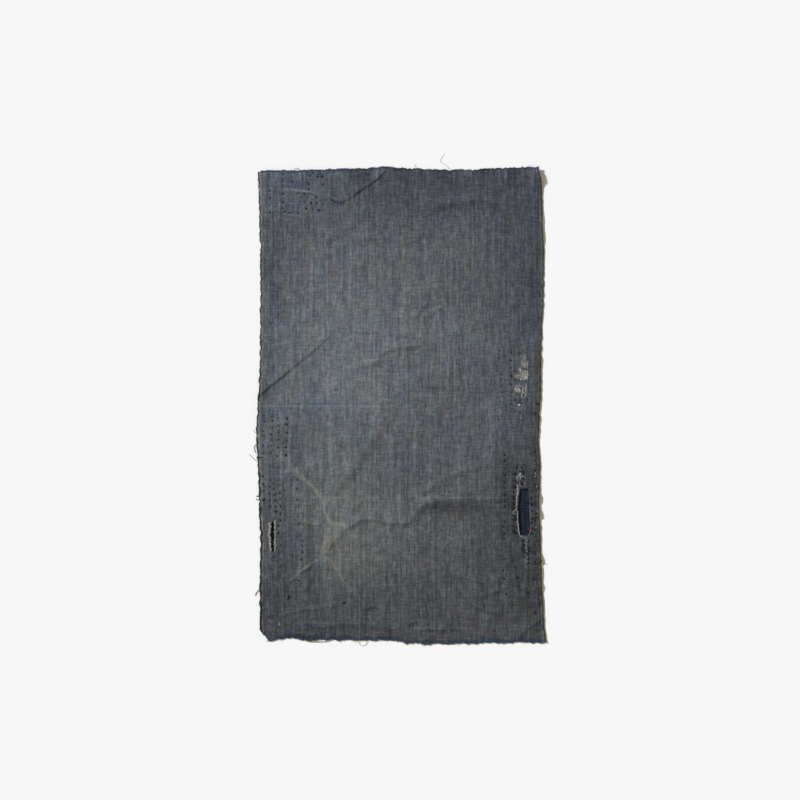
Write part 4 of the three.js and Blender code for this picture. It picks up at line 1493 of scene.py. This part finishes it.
def cloth_points():
    """Points over the cloth inside its rims: close ones where they are needed, and rows along the creases."""
    half_width, half_length = LOOM_WIDTH / 2 + SPARE_ROUND_CLOTH, CUT_LENGTH / 2 + SPARE_ROUND_CLOTH
    box = (-half_width, half_width, -half_length, half_length)
    fine = hex_points(*box, FINE_STEP)
    fine = fine[wants_fine(*fine.T) & is_cloth(*fine.T, CLEAR_OF_RIM["fine"])]
    coarse = hex_points(*box, COARSE_STEP)
    coarse = coarse[~wants_fine(*coarse.T) & is_cloth(*coarse.T, CLEAR_OF_RIM["coarse"])]
    grid = np.r_[fine, coarse]
    folds = crease_points()
    return [folds[is_cloth(*folds.T, CLEAR_OF_RIM["folds"])], grid[~on_crease(*grid.T)]]


def ground_cloth():
    """The ground cloth, and what its finish has to know at each point."""
    rims = [outer_loop()] + [hole_loop(hole) for hole in HOLES]
    ends = np.cumsum([len(rim) for rim in rims])
    loops = [list(range(end - len(rim), end)) for rim, end in zip(rims, ends)]
    vertices, faces, plan = sheet_mesh(
        np.concatenate(rims + cloth_points()), loops, is_cloth, underside,
        lambda x, y: underside(x, y) + CLOTH_THICKNESS)
    made = piece("ground_cloth_sheet", vertices, faces, cloth_finish, "faded_indigo_cotton")
    x, y = plan.T
    selvedge, cut = rim_distance(x, y)
    slope = (bottom_side(x + SLOPE_RUN) - bottom_side(x - SLOPE_RUN)) / (2 * SLOPE_RUN)
    cut = np.where(y > 0, TOP_BAND_NARROWER * cut, cut / np.hypot(1, slope))
    for name, values in (
            ("selvedge_distance", np.maximum(selvedge, 0)), ("cut_distance", np.maximum(cut, 0)),
            ("painted_crease_and_stitch_shade", np.maximum(crease_painted_shade(x, y), stitch_shade(x, y))),
            ("crease_painted_light", crease_painted_light(x, y))):
        note(made, name, np.tile(values, 2))
    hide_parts("ground_cloth")
    return made


# The patches behind it

PATCH_RIM_STEP = 1.5
PATCH_STEP = 2.6
PATCH_CLEAR_OF_RIM = 0.9
PATCH_FRAY = 0.35
PATCH_FRAY_STEPS = 1.6
PATCH_FRAY_IN = 0.4
PATCH_SEED = 60

# The two faces of a patch: how far each lies inside the solid's, and its humps.
PATCH_FACE_IN = 0.06
PATCH_BACK_IN = 0.04
PATCH_FACE_HUMPS = Rumple(7, 7, 70.0, 0.05)
PATCH_BACK_HUMPS = Rumple(9, 9, 75.0, 0.06)


def patch_rim(patch):
    """A patch's outline as points, anticlockwise, a little frayed."""
    lean, bow = patch.lean, patch.bow
    middle = np.array([(patch.left + patch.right) / 2, (patch.bottom + patch.top) / 2])
    corners = np.array([
        (patch.left - lean / 2, patch.bottom), (middle[0] - lean / 2, patch.bottom - bow),
        (patch.right - lean / 2, patch.bottom), (patch.right + bow, middle[1]),
        (patch.right + lean / 2, patch.top), (middle[0] + lean / 2, patch.top + bow),
        (patch.left + lean / 2, patch.top), (patch.left - bow, middle[1])])
    sides = []
    for start, end in zip(corners, np.roll(corners, -1, axis=0)):
        count = int(np.hypot(*(end - start)) / PATCH_RIM_STEP)
        share = np.linspace(0, 1, count, endpoint=False)[:, None]
        sides.append(start + share * (end - start))
    rim = np.concatenate(sides)
    fray = PATCH_FRAY * wander(np.arange(len(rim)), PATCH_FRAY_STEPS, PATCH_SEED + patch.left)
    inward = middle - rim
    return rim + inward / np.linalg.norm(inward, axis=1)[:, None] * (PATCH_FRAY_IN + fray)[:, None]


def inside_rim(rim, x, y):
    """True inside an outline, where a line to the right crosses it an odd number of times."""
    crossings = np.zeros(x.shape, int)
    for (ax, ay), (bx, by) in zip(rim, np.roll(rim, -1, axis=0)):
        spans = (ay > y) != (by > y)
        if spans.any():
            crossings += spans & (x < ax + (y - ay) * (bx - ax) / (by - ay))
    return crossings % 2 == 1


def patch_sheet(patch):
    """One patch, lying flat behind the cloth."""
    rim = patch_rim(patch)
    low, high = rim.min(0), rim.max(0)
    points = hex_points(low[0], high[0], low[1], high[1], PATCH_STEP)
    points = points[inside_rim(rim, *points.T)]
    away = np.hypot(points[:, 0, None] - rim[None, :, 0], points[:, 1, None] - rim[None, :, 1])
    points = points[np.min(away, axis=1) > PATCH_CLEAR_OF_RIM]

    def level(height, humps):
        return lambda x, y: height + humps.height * uneven(x, y, humps.across, humps.along, humps.seed)

    vertices, faces, _ = sheet_mesh(
        np.r_[rim, points], [list(range(len(rim)))], lambda x, y: inside_rim(rim, x, y),
        level(PATCH_UNDERSIDE + PATCH_BACK_IN, PATCH_BACK_HUMPS),
        level(PATCH_FACE - PATCH_FACE_IN, PATCH_FACE_HUMPS))
    made = piece(patch.node + "_sheet", vertices, faces, patch_finishes[patch.node], patch.slot)
    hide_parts(patch.node)
    return made


# Sewing

STITCH_POINTS = 7
STITCH_TURN = 0.25
STITCH_LENGTHS = (0.8, 1.2)
STITCH_RADII = (0.85, 1.15)
SIZE_TELLS = 0.7
STITCH_STANDS = 0.22
STITCH_SUNK = 0.34
STITCH_ARCH = 0.75
STITCH_END = 0.72

# On the back the thread runs from stitch to stitch, but for a share at each end, and sags to one side.
BACK_START = 0.12
BACK_RUN = 0.76
BACK_SAG = 0.35
BACK_HEIGHT = 0.52
BACK_DIP = 0.26
BACK_RADIUS = 0.24

# A thread over the left selvedge, across and up, and how far knots, pale stitches and it stand off the face.
SELVEDGE_THREAD = ([-173.2, -169, -164.5], [-62.6, -62.4, -62.2], [-0.1, 0.28, 0.1])
SELVEDGE_THREAD_RADIUS = 0.42
KNOT_STANDS = [-0.1, 0.3, -0.1]
PALE_STITCH_LENGTH = 1.7
PALE_STITCH_RADIUS = 0.42
PALE_STITCH_RUNS = np.array([0.2, -0.98])


def face_points(x, y, above):
    """Points over the face of the cloth."""
    x, y = np.asarray(x, float), np.asarray(y, float)
    return np.c_[x, y, underside(x, y) + CLOTH_THICKNESS + above]


def stitch_path(middle, direction, length, radius):
    """A short arch of thread that dips into the cloth at both ends."""
    share = np.linspace(-0.5, 0.5, STITCH_POINTS)
    x, y = middle[0] + share * length * direction[0], middle[1] + share * length * direction[1]
    arch = STITCH_SUNK * radius + STITCH_ARCH * radius * np.cos(np.pi * share) - STITCH_ARCH * radius
    level = underside([middle[0]], [middle[1]])[0] + CLOTH_THICKNESS + STITCH_STANDS
    return np.c_[x, y, level + arch], radius * (STITCH_END + (1 - STITCH_END) * np.cos(np.pi * share))


def back_path(start, end):
    """The thread on the back between two stitches."""
    share = np.linspace(0, 1, STITCH_POINTS)
    run = end - start
    sag = BACK_SAG * np.sin(np.pi * share) * rng.uniform(-1, 1)
    x = start[0] + run[0] * (BACK_START + BACK_RUN * share) + sag * (abs(run[1]) > abs(run[0]))
    y = start[1] + run[1] * (BACK_START + BACK_RUN * share) + sag * (abs(run[0]) >= abs(run[1]))
    z = BACK_HEIGHT - BACK_DIP * np.sin(np.pi * share) ** 0.5
    return np.c_[x, y, z], np.full(STITCH_POINTS, BACK_RADIUS)


def sewing():
    """The stitches on the face, the thread on the back and the few paler stitches."""
    dark, backs = [], []
    last = None
    for stitch in STITCHES:
        angle = rng.normal(0, STITCH_TURN)
        turned = np.array([math.sin(angle), -math.cos(angle)])
        size = stitch.size ** SIZE_TELLS
        length = STITCH_LENGTH * size * rng.uniform(*STITCH_LENGTHS)
        radius = STITCH_RADIUS * size * rng.uniform(*STITCH_RADII)
        dark.append(stitch_path(stitch.middle, turned, length, radius))
        if last is not None and last.row == stitch.row:
            backs.append(back_path(last.middle, stitch.middle))
        last = stitch
    edge = smooth_path(face_points(*SELVEDGE_THREAD), 5)
    dark.append((edge, np.full(len(edge), SELVEDGE_THREAD_RADIUS)))
    for (x0, y0), (x1, y1), radius in KNOTS:
        knot = smooth_path(face_points([x0, (x0 + x1) / 2, x1], [y0, (y0 + y1) / 2, y1], KNOT_STANDS), 4)
        dark.append((knot, radius * (0.7 + 0.3 * np.sin(np.linspace(0, np.pi, len(knot))))))
    pale = [stitch_path(np.array(place), PALE_STITCH_RUNS, PALE_STITCH_LENGTH, PALE_STITCH_RADIUS)
            for place in PALE_STITCHES]
    piece("running_stitches", *tube_mesh(dark, 6), sewing_finish)
    piece("pale_stitches", *tube_mesh(pale, 6), pale_sewing_finish)
    piece("stitches_on_the_back", *tube_mesh(backs, 6), sewing_finish)


# Frayed and loose yarns

# Yarn ends on the raw edges: which way they point, how far inside the left selvedge they begin, about how far
# they stand out, and the share that is longer.
FrayedEdge = namedtuple("FrayedEdge", "side outward from_left reach straggling")
FRAYED_EDGES = [
    FrayedEdge(top_side, 1, 1.0, 0.4, 0.006),
    FrayedEdge(bottom_side, -1, 1.5, 0.7, 0.02),
]
YARN_END_PITCH = 0.72
YARN_END_SLIP = 0.3
YARN_ENDS_FROM_RIGHT = 1.5
YARN_END_ROOT = 1.2
YARN_END_LENGTHS = 2.2
YARN_END_LONGER = (0.8, 2.4)
YARN_END_LEAN = 0.35
YARN_END_CURL = 0.25
YARN_END_TAPER = 0.55
YARN_END_RADII = (0.2, 0.3)
YARN_END_LEVELS = (0.35, 0.8)
YARN_END_LOWEST = 0.25


def yarn_end(edge, x):
    """A short warp end that stands out of a cut edge."""
    y = edge.side(x)
    length = rng.gamma(YARN_END_LENGTHS, edge.reach / YARN_END_LENGTHS)
    if rng.random() < edge.straggling:
        length += rng.uniform(*YARN_END_LONGER)
    lean = rng.normal(0, YARN_END_LEAN)
    curl = rng.normal(0, YARN_END_CURL) * length
    share = np.linspace(0, 1, 5)
    taper = 1 - YARN_END_TAPER * share ** 2
    px = x + lean * length * share + curl * share ** 2
    py = y + edge.outward * (-YARN_END_ROOT + (length + YARN_END_ROOT) * share)
    root = underside([x], [y - edge.outward])[0] + CLOTH_THICKNESS * rng.uniform(*YARN_END_LEVELS)
    return np.c_[px, py, np.maximum(root * taper, YARN_END_LOWEST)], rng.uniform(*YARN_END_RADII) * taper


def cut_edge_yarns():
    """The frayed ends of the warp along both cut edges."""
    paths = []
    for edge in FRAYED_EDGES:
        y = edge.outward * CUT_LENGTH / 2
        first, last = left_side(y) + edge.from_left, right_side(y) - YARN_ENDS_FROM_RIGHT
        places = np.arange(first, last, YARN_END_PITCH)
        places = places + rng.uniform(-YARN_END_SLIP, YARN_END_SLIP, len(places))
        paths += [yarn_end(edge, x) for x in places]
    return piece("cut_edge_yarns", *tube_mesh(paths, 4), blue_yarn_finish, "faded_indigo_cotton")


# Loose threads at the edges, each through a few places in plan with its thickness.
LooseThread = namedtuple("LooseThread", "corners radius")
LOOSE_THREADS = [
    LooseThread([(58.4, 282), (55, 286.4), (51, 289), (47.4, 291.4), (46.8, 292.6)], 0.16),
    LooseThread([(46.8, 292.4), (47.6, 294.6), (50, 298), (52.2, 301)], 0.10),
    LooseThread([(-170, -36), (-173, -34), (-177, -30.5)], 0.22),
    LooseThread([(-170, -44), (-174.5, -47.5), (-175.8, -51), (-174.2, -57)], 0.3),
    LooseThread([(-169, -68), (-174.5, -66), (-178, -62.5), (-182, -58.5)], 0.26),
    LooseThread([(-168, -109), (-171, -108.6), (-173.6, -108.9)], 0.45),
    LooseThread([(-168, -113), (-171, -113), (-173.8, -112.7)], 0.45),
    LooseThread([(-168, -219), (-171, -221.5), (-173.5, -225), (-174.5, -228)], 0.36),
    LooseThread([(-118, -279), (-113, -282.2), (-105, -283), (-91, -282.8), (-83, -280)], 0.32),
    LooseThread([(-112, -280), (-104, -281.8), (-96, -283.4), (-86, -281.6)], 0.22),
    LooseThread([(-50, -280), (-50.5, -284), (-47.5, -287.6), (-43.5, -287.6), (-40.5, -284), (-41, -280)],
                0.17),
    LooseThread([(-128.5, 279), (-127, 282.2), (-125, 283.8), (-122, 282.6)], 0.26),
    LooseThread([(169, -189.5), (172.5, -190), (175, -190.4)], 0.16),
    LooseThread([(20, 283), (17, 286), (17.5, 288.5)], 0.14),
]
THREAD_BEND_STEPS = 6
THREAD_DROPS_OVER = 6.0


def loose_threads():
    """The loose threads, which come down to the surface past the edge of the cloth."""
    paths = []
    for thread in LOOSE_THREADS:
        flat = smooth_path(thread.corners, THREAD_BEND_STEPS)
        selvedge, cut = rim_distance(*flat.T)
        height = underside(*flat.T) + 0.5 * CLOTH_THICKNESS
        drop = fade(np.maximum(-np.minimum(selvedge, cut), 0), THREAD_DROPS_OVER)
        z = np.maximum(thread.radius, height * drop + thread.radius * (1 - drop))
        paths.append((np.c_[flat, z], np.full(len(flat), thread.radius)))
    piece("loose_threads", *tube_mesh(paths, 6), loose_yarn_finish, "faded_indigo_cotton")


# Frayed cream cords along the worn places, and duller yarns, each through a few places in plan.
FRAYED_CORDS = [
    LooseThread([(139.4, -94.6), (139.5, -99), (139.9, -103.5), (139.3, -107)], 0.50),
    LooseThread([(139.4, -106.4), (138.4, -111), (138.8, -117)], 0.42),
    LooseThread([(138.8, -117), (137.7, -124), (139.3, -128.5), (139.4, -136)], 0.36),
    LooseThread([(139.4, -136), (140, -143.5), (141, -151.5), (142.4, -156.2), (144.4, -157.4)], 0.38),
    LooseThread([(139.4, -95), (138.8, -91.4), (139.4, -87.4), (141.2, -83.6)], 0.26),
    LooseThread([(144.0, -81.2), (142.6, -82.6), (141.0, -84.6)], 0.44),
    LooseThread([(142.2, -89), (142.8, -86.8), (144.4, -85.2), (146.6, -85.4)], 0.32),
    LooseThread([(137.6, -124), (135.4, -126.4), (134, -129), (135.8, -130.4), (137.8, -128.4)], 0.26),
    LooseThread([(136.6, -120.4), (134.8, -122.6), (134.4, -126)], 0.22),
    LooseThread([(135.6, -131.4), (134, -134.6), (136.2, -137.2)], 0.22),
    LooseThread([(-119.4, -146.8), (-118.6, -145.6), (-117.6, -145.2)], 0.26),
    LooseThread([(-156.2, -140.4), (-157, -143), (-156.2, -146.4)], 0.95),
    LooseThread([(-156.2, -146), (-157, -149), (-156.7, -152)], 0.62),
    LooseThread([(-157, -151.6), (-158.2, -155.4), (-157, -159)], 0.9),
    LooseThread([(-156.9, -158.6), (-156.2, -163), (-156.4, -166.6)], 0.68),
    LooseThread([(-156.4, -166), (-156, -170), (-155.4, -173.4)], 0.85),
]
DULL_YARNS = [
    LooseThread([(-150.9, -137.2), (-150.6, -143.5), (-150.4, -151), (-150.3, -160), (-150.4, -169),
                 (-150.8, -175.6)], 1.1),
    LooseThread([(153.9, -118), (154.6, -128), (154.9, -138)], 0.16),
    LooseThread([(154.9, -137), (155, -147), (153.8, -153), (151.8, -156.8)], 0.19),
    LooseThread([(144.4, -157.4), (147, -158.2), (150, -157.6)], 0.22),
    LooseThread([(146.6, -85.4), (148.4, -87.4), (149.2, -90.6), (149.4, -94)], 0.15),
    LooseThread([(147.2, -91.6), (148.6, -95.6), (150, -99)], 0.26),
    LooseThread([(141.4, -92.6), (142.2, -95), (143.4, -97.2)], 0.28),
    LooseThread([(140.2, -76.2), (140.4, -78.6)], 0.48),
    LooseThread([(143.2, -76.2), (143.3, -78.4)], 0.42),
    LooseThread([(138.8, -83.6), (138.9, -87.8)], 0.48),
    LooseThread([(-152.9, -90), (-152.6, -93.6)], 0.34),
    LooseThread([(-152.7, -97), (-152.9, -101), (-153.2, -105)], 0.18),
    LooseThread([(-153.8, -108.6), (-154.8, -113), (-155.3, -118)], 0.18),
    LooseThread([(-154.9, -123), (-154.8, -129), (-152.4, -132.4)], 0.18),
    LooseThread([(-152.2, -130.4), (-151.4, -134)], 0.30),
]

# Yarns bared side by side, from left to right: where their upper and lower ends lie, and the share of them
# that is gone.
BaredYarns = namedtuple("BaredYarns", "left right top_left top_right foot_left foot_right gone")
BARED_YARNS = [
    BaredYarns(143.4, 151.8, 53.0, 52.5, 44.0, 44.5, 0.40),
    BaredYarns(142.6, 151.6, 40.0, 40.5, 32.5, 29.8, 0.35),
    BaredYarns(135.6, 142.2, 36.8, 36.0, 34.0, 32.2, 0.40),
    BaredYarns(135.6, 143.0, 21.4, 21.4, 17.8, 15.0, 0.40),
    BaredYarns(144.6, 150.4, 22.0, 24.2, 13.5, 12.0, 0.40),
    BaredYarns(143.8, 149.2, 12.6, 12.2, 9.8, 9.4, 0.40),
]
BARED_PITCH = 1.35

# Flecks of bared yarn: where a row of them starts and ends, how many, and how thick.
FleckRow = namedtuple("FleckRow", "x0 y0 x1 y1 count radius")
FLECKS = [
    FleckRow(148.6, -160, 149.8, -170, 9, 0.34),
    FleckRow(149.2, -171, 149.8, -185, 12, 0.32),
    FleckRow(149.6, -187, 149.6, -195, 6, 0.29),
    FleckRow(149.8, -198, 149.8, -210, 5, 0.23),
    FleckRow(-152.7, -89, -153, -106, 7, 0.26),
    FleckRow(-154, -108, -154.8, -131, 8, 0.23),
    FleckRow(-121.6, -128, -118.8, -170, 6, 0.2),
    FleckRow(135.5, 24.6, 142.5, 24.2, 3, 0.34),
    FleckRow(145, 43.4, 148, 42.6, 2, 0.34),
]
# Bits of cotton fluff caught on the face: where, how long and how thick.
Tuft = namedtuple("Tuft", "x y length radius")
TUFTS = [Tuft(141.3, 0.4, 1.7, 0.50), Tuft(-171, -157, 1.4, 0.22)]
TUFT_FIBRES = 4
TUFT_SPREAD = 0.25
TUFT_STANDS = 0.1
TUFT_TURN = 0.3

# A frayed cord: how lumpy it is, and how long and thick its hairs are, before its own thickness adds to them.
CORD_BEND_STEPS = 8
CORD_STANDS = 0.05
CORD_USUAL = 0.85
CORD_LUMPS = 0.9
CORD_LUMP_STEPS = 2.3
HAIR_LENGTHS = (0.8, 2.0)
HAIR_RADII = (0.07, 0.13)
HAIR_WITH_CORD = 0.17
HAIRS_ON_CORD = 2.0
HAIRS_ON_DULL_YARN = 1.0
YARN_SIDES = 5

# A bared yarn: how unevenly it ends at its top and its foot, and its thickness.
BARED_TOP_SLIP = 0.9
BARED_FOOT_SLIP = 0.7
BARED_RADII = (0.12, 0.26)
BARED_STANDS = 0.02
BARED_SEED = 50

# A fleck: how far it is out of its row, and its length.
FLECK_OUT_X = 1.0
FLECK_OUT_Y = 0.45
FLECK_LENGTHS = (1.1, 2.2)
FLECK_RADII = (0.8, 1.2)
FLECK_TURN = 0.5

# The red thread end in the hole: its points, with their heights.
RED_END = [(152.0, -147.6, 1.5), (152.9, -148.4, 1.75), (153.6, -149.6, 1.6)]
RED_END_RADIUS = 0.34
FIBRE_POINTS = 6
UPRIGHT = np.pi / 2


def fibre(at, heading, length, radius):
    """A short bent bit of yarn lying on the face."""
    share = np.linspace(-0.5, 0.5, FIBRE_POINTS)
    angle = heading + rng.normal(0, 0.8) * share
    x = at[0] + np.cumsum(np.cos(angle)) * length / FIBRE_POINTS
    y = at[1] + np.cumsum(np.sin(angle)) * length / FIBRE_POINTS
    z = at[2] + radius * (0.25 + 0.9 * np.cos(np.pi * share))
    return np.c_[x, y, z], radius * (0.55 + 0.45 * np.cos(np.pi * share))


def cord_paths(cords, hairs):
    """Lumpy cords, with a few hairs standing off each."""
    paths = []
    for cord in cords:
        flat = smooth_path(cord.corners, CORD_BEND_STEPS)
        lumps = wander(np.arange(len(flat)), CORD_LUMP_STEPS, cord.corners[0][0] + cord.corners[0][1])
        points = face_points(flat[:, 0], flat[:, 1], CORD_STANDS)
        ends = np.minimum(1, 0.35 + 3 * np.sin(np.linspace(0, np.pi, len(flat))))
        paths.append((points, cord.radius * ends * (CORD_USUAL + CORD_LUMPS * lumps)))
        for _ in range(int(hairs * len(cord.corners) * (1 + 2 * cord.radius))):
            at = points[rng.integers(len(points))]
            thick = rng.uniform(*HAIR_RADII) + HAIR_WITH_CORD * cord.radius ** 2
            heading = rng.uniform(0, 2 * np.pi)
            paths.append(fibre(at, heading, rng.uniform(*HAIR_LENGTHS) + cord.radius, thick))
    return paths


def bared_yarn_paths():
    """Pale yarns lying bare side by side, some broken and some gone."""
    paths = []
    steps = np.linspace(0, 1, 9)
    ends = np.minimum(1, 0.4 + 2.2 * np.sin(np.pi * steps))
    for row in BARED_YARNS:
        places = np.arange(row.left, row.right, BARED_PITCH)
        shares = (places - row.left) / (row.right - row.left)
        for x, share in zip(places, shares):
            top = row.top_left + share * (row.top_right - row.top_left) + rng.normal(0, BARED_TOP_SLIP)
            foot = row.foot_left + share * (row.foot_right - row.foot_left) + rng.normal(0, BARED_FOOT_SLIP)
            radius = rng.uniform(*BARED_RADII)
            if rng.random() < row.gone:
                continue
            sway = 0.25 * wander(steps, 0.4, x) + rng.normal(0, 0.12)
            bead = 1 + 0.35 * wander(steps, 0.22, x + BARED_SEED)
            points = face_points(x + sway, top + steps * (foot - top), BARED_STANDS)
            paths.append((points, radius * bead * ends))
    return paths


def fleck_paths():
    """Short bits of bared yarn along the rows of flecks."""
    paths = []
    for row in FLECKS:
        for share in (np.arange(row.count) + 0.5) / row.count:
            x = row.x0 + share * (row.x1 - row.x0) + rng.normal(0, FLECK_OUT_X)
            y = row.y0 + share * (row.y1 - row.y0) + rng.normal(0, FLECK_OUT_Y)
            at = face_points([x], [y], 0.0)[0]
            heading = rng.normal(UPRIGHT, FLECK_TURN)
            length = rng.uniform(*FLECK_LENGTHS)
            paths.append(fibre(at, heading, length, row.radius * rng.uniform(*FLECK_RADII)))
    return paths


def fluff_paths():
    """A few fibres for each bit of fluff."""
    paths = []
    for tuft in TUFTS:
        for _ in range(TUFT_FIBRES):
            x = tuft.x + rng.normal(0, TUFT_SPREAD)
            y = tuft.y - tuft.length / 2 + rng.normal(0, TUFT_SPREAD)
            at = face_points([x], [y], TUFT_STANDS)[0]
            paths.append(fibre(at, rng.normal(UPRIGHT, TUFT_TURN), tuft.length, tuft.radius))
    return paths


def bared_yarns():
    """The pale and the duller yarns at the worn places, and the fluff on the face."""
    pale = cord_paths(FRAYED_CORDS, HAIRS_ON_CORD)
    piece("bared_yarns", *tube_mesh(pale, YARN_SIDES), bared_yarn_finish, "faded_indigo_cotton")
    dull = cord_paths(DULL_YARNS, HAIRS_ON_DULL_YARN) + bared_yarn_paths() + fleck_paths()
    piece("dull_bared_yarns", *tube_mesh(dull, YARN_SIDES), dull_yarn_finish, "faded_indigo_cotton")
    piece("cotton_fluff", *tube_mesh(fluff_paths(), 6), fluff_finish)


def red_thread_end():
    """The red thread end in the hole."""
    points = smooth_path(RED_END, 5)
    piece("red_thread_end", *tube_mesh([(points, np.full(len(points), RED_END_RADIUS))], 6), red_yarn_finish)


cloth = ground_cloth()
patches = [patch_sheet(patch) for patch in PATCHES]
sewing()
fringe = cut_edge_yarns()
loose_threads()
bared_yarns()
red_thread_end()


# Floor, light and camera

FRAME_WIDTH = 957.6
FRAME_CENTRE = (-1.2, 6.2)
LENS = 100.0
SENSOR = 36.0
FLOOR_HALF = 6.0
FLOOR_LEVEL = -0.25 * MM
FLOOR_GREY = (0.85, 0.85, 0.85, 1)
WINDOW_STRENGTH = 4.85
WINDOW_SPREAD = math.radians(8)
WINDOW_COLOUR = (0.84, 0.88, 1.0)
WINDOW_SHINES = Vector((0.70, -0.46, -0.545))
ROOM_COLOUR = (1.0, 0.91, 0.65, 1)
ROOM_STRENGTH = 0.388


def floor():
    """The plain pale floor under the cloth."""
    mesh = bpy.data.meshes.new("floor")
    sides = [(-1, -1), (1, -1), (1, 1), (-1, 1)]
    corners = [(x * FLOOR_HALF, y * FLOOR_HALF, FLOOR_LEVEL) for x, y in sides]
    mesh.from_pydata(corners, [], [(0, 1, 2, 3)])
    made = bpy.data.objects.new("floor", mesh)
    bpy.context.collection.objects.link(made)
    material, _, shader, _ = new_material("pale_floor", 1.0, 0.0)
    shader.inputs["Specular IOR Level"].default_value = 0.0
    shader.inputs["Base Color"].default_value = FLOOR_GREY
    mesh.materials.append(material)


def light():
    """A low window light from the left, and a warm room that fills the shadows."""
    sun = bpy.data.lights.new("window", "SUN")
    sun.energy = WINDOW_STRENGTH
    sun.angle = WINDOW_SPREAD
    sun.color = WINDOW_COLOUR
    made = bpy.data.objects.new("window", sun)
    made.rotation_euler = WINDOW_SHINES.to_track_quat("-Z", "Y").to_euler()
    bpy.context.collection.objects.link(made)
    world = bpy.data.worlds.new("room")
    world.use_nodes = True
    room = world.node_tree.nodes["Background"]
    room.inputs["Color"].default_value = ROOM_COLOUR
    room.inputs["Strength"].default_value = ROOM_STRENGTH
    bpy.context.scene.world = world
    bpy.context.scene.view_settings.view_transform = "Standard"


def camera():
    """A camera straight above the cloth."""
    data = bpy.data.cameras.new("above")
    data.lens = LENS
    data.sensor_width = SENSOR
    made = bpy.data.objects.new("above", data)
    made.location = (FRAME_CENTRE[0] * MM, FRAME_CENTRE[1] * MM, FRAME_WIDTH * MM * LENS / SENSOR)
    bpy.context.collection.objects.link(made)
    bpy.context.scene.camera = made


floor()
light()
camera()
